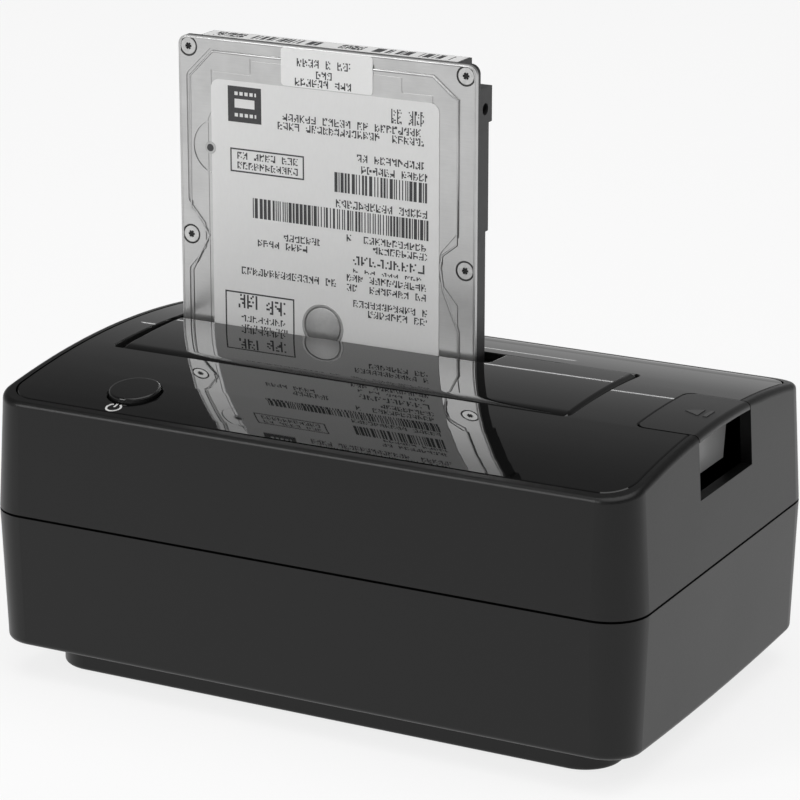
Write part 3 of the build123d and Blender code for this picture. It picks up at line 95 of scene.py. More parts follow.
camera_data = bpy.data.cameras.new("camera")
camera_data.lens = focal_length
camera_data.sensor_width = film_width
camera_data.clip_start = nearest_seen
camera_data.clip_end = furthest_seen
camera = bpy.data.objects.new("camera", camera_data)
camera.location = camera_place
camera.rotation_euler = (math.pi / 2 - camera_drop, 0.0, camera_turn)
bpy.context.scene.collection.objects.link(camera)
bpy.context.scene.camera = camera
bpy.context.scene.view_settings.view_transform = "Standard"

# Lower housing and plinth
# Two injection moulded shells in black plastic, screwed together from below. Their tool was
# spark eroded, which leaves a fine even grain that spreads reflections into a satin sheen.


class Wire:
    """A shader socket that takes plain arithmetic, and adds the nodes for it."""

    def __init__(self, socket):
        self.socket = socket

    def node(self, kind, settings=None, sockets=None, out=0):
        """Add a node: its settings first, then its sockets' values or links."""
        tree = self.socket.id_data
        added = tree.nodes.new("ShaderNode" + kind)
        for key, value in (settings or {}).items():
            if key == "stops":
                ramp = added.color_ramp.elements
                for place, shade in value[1:-1]:
                    ramp.new(place).color = (shade, shade, shade, 1.0)
                for stop, (place, shade) in ((ramp[0], value[0]), (ramp[len(ramp) - 1], value[-1])):
                    stop.position = place
                    stop.color = (shade, shade, shade, 1.0)
            else:
                setattr(added, key, value)
        for key, value in (sockets or {}).items():
            if isinstance(value, Wire):
                tree.links.new(value.socket, added.inputs[key])
            else:
                added.inputs[key].default_value = value
        return Wire(added.outputs[out])

    def maths(self, operation, first, second):
        return self.node("Math", {"operation": operation}, {0: first, 1: second})

    def __add__(self, other):
        return self.maths("ADD", self, other)

    def __sub__(self, other):
        return self.maths("SUBTRACT", self, other)

    def __rsub__(self, other):
        return self.maths("SUBTRACT", other, self)

    def __mul__(self, other):
        return self.maths("MULTIPLY", self, other)

    def __gt__(self, other):
        return self.maths("GREATER_THAN", self, other)

    __radd__ = __add__
    __rmul__ = __mul__

    def part(self, axis):
        """One of a place's three numbers."""
        return self.node("SeparateXYZ", None, {0: self}, "XYZ".index(axis))

    def stretched(self, x, y, z):
        """A place with each of its numbers multiplied, for grain that runs one way."""
        return self.node("VectorMath", {"operation": "MULTIPLY"}, {0: self, 1: (x, y, z)})

    def noise(self, size, detail=2.0, rough=0.5):
        """Soft noise, whose blotches are about this many metres across."""
        sockets = {0: self, "Scale": 1.0 / size, "Detail": detail, "Roughness": rough}
        return self.node("TexNoise", None, sockets)

    def blend(self, low, high):
        """A colour between two, as far along as this value says. A plain number is a grey."""
        sockets = {0: self}
        for key, colour in ((6, low), (7, high)):
            if isinstance(colour, float):
                colour = (colour, colour, colour)
            sockets[key] = colour if isinstance(colour, Wire) else (*colour, 1.0)
        return self.node("Mix", {"data_type": "RGBA"}, sockets, 2)


class Finish:
    """One material, with its shader and the place on the object that its patterns use."""

    def __init__(self, name, **plain):
        self.material = bpy.data.materials.new(name)
        self.material.use_nodes = True
        tree = self.material.node_tree
        self.shader = tree.nodes["Principled BSDF"]
        self.place = Wire(tree.nodes.new("ShaderNodeTexCoord").outputs["Object"])
        for socket, value in plain.items():
            self.shader.inputs[socket.replace("_", " ")].default_value = value

    def feed(self, socket, wire):
        """Let a pattern drive one of the shader's sockets."""
        self.shader.inputs[socket].id_data.links.new(wire.socket, self.shader.inputs[socket])

    def vary(self, pattern, low, high, smooth, rough):
        """Carry the finish from one colour and roughness to another, as the pattern says."""
        self.feed("Base Color", pattern.blend(low, high))
        self.feed("Roughness", pattern * (rough - smooth) + smooth)

    def bump(self, height, distance, strength=0.5):
        """Raise the surface by up to this distance, as the pattern says."""
        sockets = {"Height": height, "Distance": distance, "Strength": strength}
        self.feed("Normal", height.node("Bump", None, sockets))

    def on(self, *names):
        """Put the finish on CAD nodes, in every slot that they have."""
        for name in names:
            slots = nodes[name].data.materials
            if not slots:
                slots.append(self.material)
            for index in range(len(slots)):
                slots[index] = self.material


def moulded(name, low, high, rough, grain, ior):
    """Moulded plastic with a spark eroded grain, and handled areas that are a little smoother."""
    finish = Finish(name, IOR=ior)
    handled = finish.place.noise(28 * mm, 3.0)
    eroded = finish.place.noise(0.35 * mm, 3.0, 0.6)
    handled_share, eroded_share = 0.06, 0.08
    smoothest = rough - (handled_share + eroded_share) / 2
    finish.feed("Base Color", (handled * 0.5 + eroded * 0.5).blend(low, high))
    finish.feed("Roughness", handled * handled_share + eroded * eroded_share + smoothest)
    finish.bump(eroded, grain)
    return finish


casing_black = moulded("casing_black", 0.001, 0.003, rough=0.37, grain=0.012 * mm, ior=1.41)
casing_black.on("bottom_shell", "base_plinth")

# Feet
# Four moulded discs of black rubber, dulled by dust. Each is pressed into a round pocket
# under the plinth, and stands a little below it.

foot_rubber = Finish("foot_rubber", IOR=1.52)
foot_dust = foot_rubber.place.noise(2.2 * mm, 4.0)
foot_rubber.vary(foot_dust, 0.010, (0.028, 0.027, 0.026), smooth=0.68, rough=0.83)
foot_rubber.bump(foot_rubber.place.noise(0.25 * mm, 4.0), 0.03 * mm, 0.6)
foot_rubber.on("rubber_feet")

# Screws of the case, bay and boards
# Small machine screws, zinc plated, with a cross or star recess. They hold the housings
# together from below, the bay under the roof and the boards on their posts.

screw_zinc = Finish("screw_zinc", Metallic=1.0)
plating = screw_zinc.place.noise(1.1 * mm, 3.0)
screw_zinc.vary(plating, (0.42, 0.42, 0.43), (0.68, 0.68, 0.66), smooth=0.20, rough=0.42)
screw_zinc.bump(screw_zinc.place.noise(0.12 * mm, 3.0), 0.01 * mm)
screw_zinc.on("case_screws", "bay_screws", "switch_screws", "board_screws")

# Pins
# Drawn and ground steel rod, on which the flap and the eject lever turn. The ends sit in
# bores of the upper housing.

pin_steel = Finish("pin_steel", Metallic=1.0)
ground_lines = pin_steel.place.stretched(1.0, 0.08, 1.0).noise(0.10 * mm, 3.0)
pin_steel.vary(ground_lines, (0.50, 0.50, 0.51), 0.70, smooth=0.16, rough=0.34)
pin_steel.bump(ground_lines, 0.004 * mm, 0.6)
pin_steel.on("door_pin", "lever_pin")

# Circuit boards
# Glass fibre laminate with tinned pads, and copper tracks that stand out a little under the
# green solder mask. One main board, one for the button, one on the drive.

track_length, track_pitch, track_gap, track_shift = 7.3, 1.15, 0.16, 0.37
pad_pitch, pad_radius = 4.4 * mm, 0.085

board_green = Finish("board_green", IOR=1.5)
flat_place = board_green.place.stretched(1.0, 1.0, 0.0)
tracks = flat_place.node("TexBrick", {"offset": track_shift, "squash": 1.0}, {
    0: flat_place, "Scale": 1.0 / mm, "Mortar Size": track_gap, "Mortar Smooth": 0.12, "Bias": 0.0,
    "Brick Width": track_length, "Row Height": track_pitch,
}, 1)
copper = (1.0 - tracks) * (flat_place.noise(9 * mm, 1.0) > 0.52)
pad_grid = {0: flat_place, "Scale": 1.0 / pad_pitch}
pads = 1.0 - (flat_place.node("TexVoronoi", {"feature": "F1"}, pad_grid) > pad_radius)
mask_shade = copper * 0.7 + board_green.place.noise(6 * mm, 3.0) * 0.3
solder_mask = mask_shade.blend((0.004, 0.045, 0.018), (0.012, 0.115, 0.048))
board_green.feed("Base Color", pads.blend(solder_mask, (0.62, 0.58, 0.46)))
board_green.feed("Metallic", pads * 0.9)
board_green.feed("Roughness", board_green.place.noise(3 * mm, 2.0) * 0.14 + 0.22)
board_green.bump(copper * 0.6 + pads, 0.03 * mm)
board_green.on("main_board", "switch_board", "drive_board")

# Moulded packages
# The chip, the inductor and the key switch, in filled epoxy and nylon: matt black, with the
# faint marks of the plastic's flow. They are soldered to their boards.

epoxy_low, epoxy_high = (0.010, 0.010, 0.011), (0.030, 0.030, 0.031)
package_black = Finish("package_black", IOR=1.5)
flow_marks = package_black.place.noise(0.5 * mm, 4.0, 0.65)
package_black.vary(flow_marks, epoxy_low, epoxy_high, smooth=0.48, rough=0.68)
package_black.bump(flow_marks, 0.02 * mm)
package_black.on("bridge_chip", "power_inductor", "tact_switch")

# Capacitors
# Drawn aluminium cans, soldered upright on the main board. The drawing leaves fine lines down
# their sides.

can_metal = Finish("can_metal")
drawn_lines = can_metal.place.stretched(1.0, 1.0, 0.12).noise(0.14 * mm, 3.0)
can_metal.vary(drawn_lines, (0.60, 0.60, 0.62), (0.76, 0.76, 0.78), smooth=0.24, rough=0.44)
can_metal.feed("Metallic", drawn_lines * 0.1 + 0.9)
can_metal.bump(drawn_lines, 0.006 * mm)
can_metal.on("board_capacitors")

# Drive receptacle, drive plug and power socket
# Glass filled nylon, moulded black. The receptacle and the power socket are soldered to the
# main board, and the plug to the drive's own board.

nylon_low, nylon_high = (0.010, 0.010, 0.011), (0.024, 0.024, 0.025)
socket_black = moulded("socket_black", nylon_low, nylon_high, rough=0.42, grain=0.02 * mm, ior=1.5)
socket_black.on("sata_receptacle", "power_jack", "drive_connector")

# Data socket
# Folded from nickel plated sheet, soldered to the main board, and seen through the back wall.
# The sheet's rolling lines run from front to back.

socket_nickel = Finish("socket_nickel", Metallic=1.0)
sheet_lines = socket_nickel.place.stretched(1.0, 0.10, 1.0).noise(0.20 * mm, 3.0)
socket_nickel.vary(sheet_lines, (0.55, 0.54, 0.52), (0.74, 0.73, 0.71), smooth=0.18, rough=0.34)
socket_nickel.bump(sheet_lines, 0.004 * mm)
socket_nickel.on("usb_port")

# Upper housing
# The same black plastic as the lower one, with a rounded rim round the glossy inlay, and the
# window for the lever in its right end.

casing_black.on("top_shell")

# Glossy inlay
# Black plastic from a polished tool, let into the roof: it mirrors the drive. Handling leaves
# only faint smears. The tool's side walls weren't polished, so the inlay's edges are dull.

polished_slope = 0.62

gloss_black = Finish("gloss_black", IOR=1.5)
smear = gloss_black.place.stretched(1.0, 0.45, 1.0).noise(16 * mm, 4.0, 0.6)
speck = gloss_black.place.noise(0.6 * mm, 1.0) > 0.79
facing_up = gloss_black.place.node("TexCoord", out="Normal").part("Z")
unpolished = 1.0 - (facing_up > polished_slope)
gloss_black.feed("Base Color", (smear * 0.6 + speck * 0.4).blend(0.0018, 0.0045))
gloss_black.feed("Roughness", smear * 0.035 + speck * 0.06 + unpolished * 0.5 + 0.008)
gloss_black.bump(gloss_black.place.noise(11 * mm, 2.0), 0.004 * mm, 0.25)
gloss_black.on("top_panel")

# Flap
# The sprung flap over the bay mouth, moulded and polished as the inlay is. Its front edge
# rolls over towards its hinge, so its last few millimetres mirror the dark room above.

arch_radius, arch_middle = 225.7 * mm, 5.65 * mm
flap_crown, flap_plate = 63.7 * mm, 1.8 * mm
flap_left, flap_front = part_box("bay_door")[0].x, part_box("bay_door")[0].y
roll_reach, roll_slope, roll_cuts = 4.4 * mm, 1.15, 12
end_strip, end_growth = 0.6 * mm, 0.28 * mm
top_slope, top_skin = 0.7, 0.03 * mm
node_weld, fine_weld = 0.002 * mm, 0.001 * mm


def pick(*pieces):
    """Select these pieces and nothing else, and work on the first."""
    bpy.ops.object.select_all(action="DESELECT")
    for piece in pieces:
        piece.select_set(True)
    bpy.context.view_layer.objects.active = pieces[0]


def own_copy(name, node):
    """A node's mesh as a piece of its own, welded, and with nothing left of its old normals."""
    piece = nodes[node].copy()
    piece.data = nodes[node].data.copy()
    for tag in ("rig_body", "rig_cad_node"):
        if tag in piece:
            del piece[tag]
    piece.parent = None
    piece.name = name
    bpy.context.scene.collection.objects.link(piece)
    pick(piece)
    bpy.ops.mesh.customdata_custom_splitnormals_clear()
    bpy.ops.object.mode_set(mode="EDIT")
    bpy.ops.mesh.select_all(action="SELECT")
    bpy.ops.mesh.remove_doubles(threshold=node_weld)
    bpy.ops.object.mode_set(mode="OBJECT")
    piece.data.materials.clear()
    return piece


def arch_top(y):
    """How high the unrolled flap's top is."""
    return flap_crown - arch_radius + math.sqrt(arch_radius ** 2 - (y - arch_middle) ** 2)


def into_roll(y):
    """How far a place is inside the rolled strip."""
    return max(0.0, flap_front + roll_reach - y)


def roll_drop(y):
    """How far the roll takes a place down."""
    return roll_slope * into_roll(y) ** 3 / (3 * roll_reach ** 2)


bay_flap = own_copy("bay_flap", "bay_door")
bpy.ops.object.mode_set(mode="EDIT")
for cut in range(1, roll_cuts + 1):
    cut_place = (0.0, flap_front + roll_reach * cut / roll_cuts, 0.0)
    bpy.ops.mesh.select_all(action="SELECT")
    bpy.ops.mesh.bisect(plane_co=cut_place, plane_no=(0.0, 1.0, 0.0), threshold=fine_weld)
bpy.ops.object.mode_set(mode="OBJECT")

for vertex in bay_flap.data.vertices:
    share = (vertex.co.z - arch_top(vertex.co.y)) / flap_plate + 1.0
    vertex.co.z -= roll_drop(vertex.co.y) * min(1.0, max(0.0, share))
    if vertex.co.x < flap_left + end_strip:
        vertex.co.x -= end_growth
bay_flap.data.update()
bpy.ops.object.shade_smooth_by_angle(angle=math.radians(32.0))

# The mirror's true normals are worked out, because its long thin faces would ripple.
mirror_normals = []
for face in bay_flap.data.polygons:
    corners = [bay_flap.data.vertices[index].co for index in face.vertices]
    near_top = all(abs(corner.z - arch_top(corner.y)) < flap_plate for corner in corners)
    for corner in corners:
        off_top = abs(corner.z - arch_top(corner.y) + roll_drop(corner.y))
        if face.normal.z > top_slope and near_top and off_top < top_skin:
            back = corner.y - arch_middle
            rise = roll_slope * (into_roll(corner.y) / roll_reach) ** 2
            rise -= back / math.sqrt(arch_radius ** 2 - back ** 2)
            long = math.hypot(rise, 1.0)
            mirror_normals.append((0.0, -rise / long, 1.0 / long))
        else:
            mirror_normals.append((0.0, 0.0, 0.0))
bay_flap.data.normals_split_custom_set(mirror_normals)
bay_flap.data.materials.append(gloss_black.material)
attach(bay_flap, "bay_door")
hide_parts("bay_door")

# Drive bay and lifter
# Plain inner mouldings in black plastic, left as the bare tool made them. The bay is screwed
# under the roof, and the lifter slides in it.

bay_plastic = moulded("bay_plastic", 0.008, 0.017, rough=0.50, grain=0.02 * mm, ior=1.46)
bay_plastic.on("drive_bay", "eject_slide")

# Springs of the flap and the lever
# Wound from drawn steel wire round each pin. One leg rests on the housing and the other
# under the moving part, so the real coil winds up as that part turns; these copies stay still.

spring_wire = Finish("spring_wire", Metallic=1.0)
wire_lines = spring_wire.place.noise(0.09 * mm, 3.0)
spring_wire.vary(wire_lines, (0.46, 0.46, 0.47), 0.66, smooth=0.2, rough=0.4)
spring_wire.bump(wire_lines, 0.005 * mm)


def wound_spring(name, node):
    """The node's own coil as one welded mesh of its own, in place of the node."""
    coil = own_copy(name, node)
    bpy.ops.object.shade_smooth_by_angle(angle=math.radians(40.0))
    coil.data.materials.append(spring_wire.material)
    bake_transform(coil)
    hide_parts(node)


wound_spring("flap_spring_coil", "door_spring")
wound_spring("lever_spring_coil", "lever_spring")

# Eject lever
# A satin key that bends over the edge of the casing, moulded in one with the web that shows in
# the window, whose face is painted paler as painted light. A generic mark stands a little proud
# of its top, painted paler than the key as a painted highlight.

web_back, web_front, web_top, web_painted_light = 65.9 * mm, 67.0 * mm, 61.0 * mm, 0.30

key_black = moulded("key_black", 0.006, 0.009, rough=0.30, grain=0.003 * mm, ior=1.45)
# The web's face is painted paler grey: painted light for the light it catches in the window.
web_x = key_black.place.part("X")
web_light_mask = (web_x > web_back) * (1.0 - (web_x > web_front))
web_light_mask = web_light_mask * (1.0 - (key_black.place.part("Z") > web_top))
key_tone = Wire(key_black.shader.inputs["Base Color"].links[0].from_socket)
key_black.feed("Base Color", web_light_mask.blend(key_tone, web_painted_light))
key_black.on("eject_lever")


def added(primitive, scale=(1.0, 1.0, 1.0), **settings):
    """Add a primitive with nothing else selected, and put its place into its mesh."""
    bpy.ops.object.select_all(action="DESELECT")
    primitive(**settings)
    bpy.context.active_object.scale = scale
    bpy.ops.object.transform_apply(location=True, rotation=True, scale=True)
    return bpy.context.active_object


def modified(piece, kind, **settings):
    """Add a modifier to the active piece, and apply it."""
    modifier = piece.modifiers.new(kind, kind)
    for key, value in settings.items():
        setattr(modifier, key, value)
    bpy.ops.object.modifier_apply(modifier=modifier.name)


def outward():
    """Turn all the faces of the active piece outwards."""
    bpy.ops.object.mode_set(mode="EDIT")
    bpy.ops.mesh.select_all(action="SELECT")
    bpy.ops.mesh.normals_make_consistent(inside=False)
    bpy.ops.object.mode_set(mode="OBJECT")


def facing_sky(piece):
    """Turn a flat piece's faces up."""
    if piece.data.polygons[0].normal.z < 0.0:
        piece.data.flip_normals()


def settled(piece, target, lift):
    """Lay a flat mark down onto a node's top, and give it a thickness."""
    pick(piece)
    bpy.ops.object.transform_apply(location=True, rotation=True, scale=True)
    modified(piece, "SHRINKWRAP", target=nodes[target], offset=lift, wrap_method="PROJECT",
             use_project_z=True, use_negative_direction=True, use_positive_direction=False)
    modified(piece, "SOLIDIFY", thickness=lift, offset=-1.0)
    outward()


def joined(name, *pieces):
    """Make one piece of several."""
    pick(*pieces)
    bpy.ops.object.join()
    pieces[0].name = name
    return pieces[0]


# The inlay's opening follows the key's two rounded corners at its left.
opening_left, opening_front, opening_back = 56.75 * mm, -11.75 * mm, 14.45 * mm
opening_corner = 2.55 * mm
panel_crown, panel_plate = 63.804 * mm, 1.4 * mm
on_centre = 0.0001 * mm

corner_webs = []
for corner_y, inward in ((opening_front, 1.0), (opening_back, -1.0)):
    centre = (opening_left + opening_corner, corner_y + inward * opening_corner)
    web = added(bpy.ops.mesh.primitive_circle_add, vertices=96, radius=opening_corner,
                fill_type="NOTHING", location=(*centre, 0.0))
    for edge in web.data.edges:
        edge.select = False
    for vertex in web.data.vertices:
        right_of = vertex.co.x - centre[0] > on_centre
        inside_of = (centre[1] - vertex.co.y) * inward < -on_centre
        vertex.select = right_of or inside_of
    bpy.ops.object.mode_set(mode="EDIT")
    bpy.ops.mesh.select_mode(type="VERT")
    bpy.ops.mesh.delete(type="VERT")
    bpy.ops.mesh.select_all(action="SELECT")
    bpy.ops.mesh.extrude_region()
    bpy.ops.transform.resize(value=(0.0, 0.0, 1.0), center_override=(opening_left, corner_y, 0.0))
    bpy.ops.mesh.select_all(action="SELECT")
    bpy.ops.mesh.remove_doubles(threshold=fine_weld)
    bpy.ops.object.mode_set(mode="OBJECT")
    outward()
    facing_sky(web)
    for vertex in web.data.vertices:
        vertex.co.z = panel_crown - arch_radius + math.sqrt(arch_radius ** 2 - vertex.co.y ** 2)
    modified(web, "SOLIDIFY", thickness=panel_plate, offset=-1.0)
    corner_webs.append(web)
panel_corners = joined("panel_corners", *corner_webs)
panel_corners.data.materials.append(gloss_black.material)
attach(panel_corners, "root")

mark_x, mark_y, mark_height = 65.6 * mm, 1.6 * mm, 0.13 * mm
arrow_radius, arrow_left = 2.3 * mm, 1.3 * mm
bar_size, bar_right = (0.9 * mm, 4.0 * mm, 1.0), 1.4 * mm
over_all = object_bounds()[1].z

eject_arrow = added(bpy.ops.mesh.primitive_circle_add, vertices=3, radius=arrow_radius,
                    fill_type="NGON", rotation=(0.0, 0.0, math.pi / 2),
                    location=(mark_x - arrow_left, mark_y, over_all))
eject_bar = added(bpy.ops.mesh.primitive_plane_add, bar_size, size=1.0,
                  location=(mark_x + bar_right, mark_y, over_all))
eject_mark = joined("eject_mark", eject_arrow, eject_bar)
bpy.ops.object.mode_set(mode="EDIT")
bpy.ops.mesh.select_all(action="SELECT")
bpy.ops.mesh.quads_convert_to_tris()
bpy.ops.mesh.subdivide(number_cuts=5)
bpy.ops.object.mode_set(mode="OBJECT")
settled(eject_mark, "eject_lever", mark_height)
# The mark is painted paler than the key: a painted highlight for the light its raised edges catch.
mark_painted_highlight = moulded("mark_painted_highlight", 0.048, 0.062, rough=0.42, grain=0.003 * mm, ior=1.45)
eject_mark.data.materials.append(mark_painted_highlight.material)
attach(eject_mark, "eject_lever")

# Power button
# A round key in smooth black plastic that stands proud of the inlay, on the switch of its
# board. A power mark is printed on the inlay beside it, in pale ink.

button_black = moulded("button_black", 0.003, 0.006, rough=0.14, grain=0.004 * mm, ior=1.46)
button_black.on("power_button")

symbol_x, symbol_y, symbol_radius = -43.85 * mm, -39.55 * mm, 1.7 * mm
stroke, stroke_thick = 0.42 * mm, 0.03 * mm
bar_length, bar_middle = 1.5 * mm, 0.95 * mm
gap_half = math.radians(32.0)


def cut_away(piece, unwanted):
    """Delete the faces that a test picks out."""
    for face in piece.data.polygons:
        face.select = unwanted(face)
    bpy.ops.object.mode_set(mode="EDIT")
    bpy.ops.mesh.select_mode(type="FACE")
    bpy.ops.mesh.delete(type="FACE")
    bpy.ops.object.mode_set(mode="OBJECT")


ring_middle = (0.0, 0.0, over_all)
power_ring = added(bpy.ops.mesh.primitive_circle_add, vertices=72, radius=symbol_radius,
                   fill_type="NOTHING", location=ring_middle)
inner_share = 1.0 - stroke / symbol_radius
bpy.ops.object.mode_set(mode="EDIT")
bpy.ops.mesh.select_all(action="SELECT")
bpy.ops.mesh.extrude_region()
bpy.ops.transform.resize(value=(inner_share, inner_share, 1.0), center_override=ring_middle)
bpy.ops.object.mode_set(mode="OBJECT")
cut_away(power_ring, lambda face: abs(math.atan2(face.center.x, face.center.y)) < gap_half)
outward()
facing_sky(power_ring)
power_bar = added(bpy.ops.mesh.primitive_grid_add, (stroke, bar_length, 1.0), size=1.0,
                  x_subdivisions=2, y_subdivisions=8, location=(0.0, bar_middle, over_all))
power_symbol = joined("power_symbol", power_ring, power_bar)
power_symbol.location = (symbol_x, symbol_y, 0.0)
settled(power_symbol, "top_panel", stroke_thick)

symbol_ink = Finish("symbol_ink", IOR=1.45)
ink_cloud = symbol_ink.place.noise(0.3 * mm, 3.0)
symbol_ink.vary(ink_cloud, 0.55, (0.68, 0.68, 0.67), smooth=0.4, rough=0.6)
power_symbol.data.materials.append(symbol_ink.material)
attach(power_symbol, "root")

# Drive body and motor
# The body is die cast aluminium under a dark coat, with a fine cast skin. The motor's hub is
# turned steel, pressed into the body, and shows at the back.

cast_frame = Finish("cast_frame", IOR=1.5)
coat_cloud = cast_frame.place.noise(1.4 * mm, 4.0, 0.6)
cast_frame.vary(coat_cloud, (0.022, 0.022, 0.023), (0.055, 0.055, 0.056), smooth=0.34, rough=0.54)
cast_frame.feed("Metallic", coat_cloud * 0.3 + 0.35)
cast_frame.bump(cast_frame.place.noise(0.3 * mm, 4.0), 0.03 * mm)
cast_frame.on("drive_casting")

motor_metal = Finish("motor_metal", Metallic=1.0)
turned_marks = motor_metal.place.noise(0.4 * mm, 3.0)
motor_metal.vary(turned_marks, 0.50, (0.66, 0.66, 0.65), smooth=0.24, rough=0.44)
motor_metal.bump(turned_marks, 0.006 * mm)
motor_metal.on("spindle_motor")

# Drive cover
# Stamped from rolled stainless sheet and held by six screws. The rolling leaves faint lines
# along the sheet, and the press leaves small dents and a slight wave.

cover_steel = Finish("cover_steel", Metallic=1.0)
rolled = cover_steel.place.stretched(0.05, 1.0, 1.0).noise(0.22 * mm, 4.0, 0.6)
wave = cover_steel.place.noise(7 * mm, 3.0, 0.6)
dents = cover_steel.place.noise(1.3 * mm, 3.0)
cover_steel.feed("Base Color", (rolled * 0.35 + wave * 0.65).blend(0.42, (0.70, 0.70, 0.695)))
cover_steel.feed("Roughness", rolled * 0.10 + wave * 0.12 + 0.25)
cover_steel.bump(rolled * 0.25 + dents * 0.75, 0.012 * mm)
cover_steel.on("drive_cover")

# Labels
# Coated paper, glued on. One large label covers most of the drive's cover, with a window over
# the spindle, and two smaller stickers sit above it and on the top end.

label_paper = Finish("label_paper", IOR=1.45)
fibre = label_paper.place.stretched(1.0, 1.0, 0.35).noise(0.5 * mm, 4.0, 0.65)
label_paper.vary(fibre, (0.735, 0.735, 0.73), (0.785, 0.785, 0.78), smooth=0.42, rough=0.58)
label_paper.bump(fibre, 0.006 * mm, 0.4)
label_paper.on("drive_label")

sticker_paper = Finish("sticker_paper", IOR=1.45)
sticker_fibre = sticker_paper.place.noise(0.45 * mm, 4.0, 0.65)
sticker_paper.vary(sticker_fibre, (0.80, 0.80, 0.795), (0.85, 0.85, 0.845), smooth=0.36, rough=0.52)
sticker_paper.bump(sticker_fibre, 0.006 * mm, 0.4)
sticker_paper.on("drive_batch_label", "drive_end_label")

# Print on the labels
# Black thermal print: bar codes, ruled boxes and rows of small type, all made of meaningless
# marks. Each is a thin skin of ink on its label.

drive_left, drive_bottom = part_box("drive_casting")[0].x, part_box("drive_casting")[0].z
label_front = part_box("drive_label")[0].y
sticker_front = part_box("drive_batch_label")[0].y
ink_thick = 0.02 * mm
type_cell, type_pitch, type_gaps = 0.27, 5, 0.12
code_cell, rule_line = 0.24, 0.32
dice = random.Random(25)

thermal_ink = Finish("thermal_ink", IOR=1.45)
toner = thermal_ink.place.noise(0.5 * mm, 4.0, 0.7)
thermal_ink.vary(toner, (0.022, 0.022, 0.023), (0.075, 0.075, 0.078), smooth=0.4, rough=0.6)


def inked(left, right, low, high, columns, rows, keep, front):
    """A grid of ink cells on an upright label, less the cells that keep turns away."""
    width, height = (right - left) * mm, (high - low) * mm
    corner_x, corner_z = drive_left + left * mm, drive_bottom + low * mm
    patch = added(
        bpy.ops.mesh.primitive_grid_add, (width, height, 1.0), size=1.0,
        x_subdivisions=columns, y_subdivisions=rows, rotation=(math.pi / 2, 0.0, 0.0),
        location=(corner_x + width / 2, front - ink_thick, corner_z + height / 2),
    )

    def blank(face):
        column = int((face.center.x - corner_x) / width * columns)
        row = int((face.center.z - corner_z) / height * rows)
        return not keep(column, row)

    cut_away(patch, blank)
    bpy.ops.object.mode_set(mode="EDIT")
    bpy.ops.mesh.select_all(action="SELECT")
    bpy.ops.mesh.dissolve_limited(angle_limit=math.radians(1.0))
    bpy.ops.object.mode_set(mode="OBJECT")
    return patch


def type_row(left, right, middle, height, front, cell=type_cell, gaps=type_gaps):
    """A row of marks as tall and as close as small type, with gaps between its words."""
    columns = max(4, round((right - left) / cell))
    rows = max(3, round(height / cell))
    marks = set()
    for start in range(0, columns, type_pitch):
        if dice.random() < gaps and start > 0:
            continue
        upright = dice.choice((0, type_pitch - 2))
        for row in range(rows):
            marks.add((start + upright, row))
        for column in range(start, start + type_pitch - 1):
            for row in dice.sample(range(rows), max(1, rows // 3)):
                marks.add((column, row))
    return inked(left, right, middle - height / 2, middle + height / 2, columns, rows,
                 lambda column, row: (column, row) in marks, front)


def bar_code(left, right, low, high, front):
    """Upright bars of one to three cells with gaps of one or two, one cell high."""
    columns = round((right - left) / code_cell)
    dark = set()
    column = 0
    while column < columns:
        wide = dice.choice((1, 1, 2, 3))
        dark.update(range(column, column + wide))
        column += wide + dice.choice((1, 1, 2))
    return inked(left, right, low, high, columns, 1, lambda column, row: column in dark, front)


def ruled_box(left, right, low, high, front):
    """A box drawn with one line."""
    columns, rows = round((right - left) / rule_line), round((high - low) / rule_line)
    return inked(left, right, low, high, columns, rows,
                 lambda column, row: column in (0, columns - 1) or row in (0, rows - 1), front)


def in_square(column, row):
    """A dark square, 20 cells each way, with two dotted lines and a bar left pale."""
    dotted = row in (3, 4, 15, 16) and 2 < column < 17 and column % 3
    bar = 7 < row < 13 and 3 < column < 16
    return not (dotted or bar)


def ink_skin(piece, body):
    """Thicken a flat print down to its label, and give it the ink."""
    pick(piece)
    modified(piece, "SOLIDIFY", thickness=ink_thick, offset=-1.0)
    piece.data.materials.clear()
    piece.data.materials.append(thermal_ink.material)
    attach(piece, body)


# All in millimetres from the drive's lower left corner: left, right, low and high for codes
# and boxes, and left, right, middle and height for the rows of type.
label_ink = [
    bar_code(37.2, 59.0, 70.6, 74.8, label_front),
    bar_code(17.6, 59.1, 62.7, 67.0, label_front),
    ruled_box(12.3, 30.0, 72.2, 77.3, label_front),
    ruled_box(10.6, 27.4, 34.0, 46.2, label_front),
]
label_rows = (
    (50.5, 58.0, 88.0, 3.0), (25.0, 57.8, 85.1, 1.6), (23.8, 58.0, 83.2, 1.6),
    (42.5, 58.0, 78.3, 1.6), (43.5, 58.8, 75.9, 1.6), (37.5, 58.8, 68.2, 1.7),
    (40.0, 58.8, 61.1, 1.5), (46.2, 58.8, 59.2, 1.5), (25.0, 33.6, 59.3, 1.5),
    (18.7, 33.6, 57.4, 1.5), (41.5, 58.8, 54.3, 0.8), (40.0, 58.8, 52.6, 1.5),
    (40.0, 58.8, 50.5, 1.5), (14.7, 37.4, 51.0, 1.6), (41.5, 58.8, 47.2, 1.5),
    (45.0, 58.8, 45.3, 1.5), (14.0, 28.5, 75.8, 1.5), (14.0, 28.5, 73.7, 1.5),
    (14.5, 26.5, 40.5, 1.4), (14.5, 26.5, 38.5, 1.4), (14.5, 26.5, 36.4, 1.4),
)
for row_place in label_rows:
    label_ink.append(type_row(*row_place, label_front))
bold_cell, bold_gaps = 0.38, 0.06
label_ink.append(type_row(41.5, 58.2, 56.5, 1.9, label_front, bold_cell, bold_gaps))
label_ink.append(inked(11.9, 19.9, 82.9, 90.5, 20, 20, in_square, label_front))
picture_cell = 0.42
for left, middle in ((13.8, 44.2), (20.6, 43.6)):
    label_ink.append(type_row(left, left + 4.6, middle, 3.0, label_front, picture_cell, 0.0))
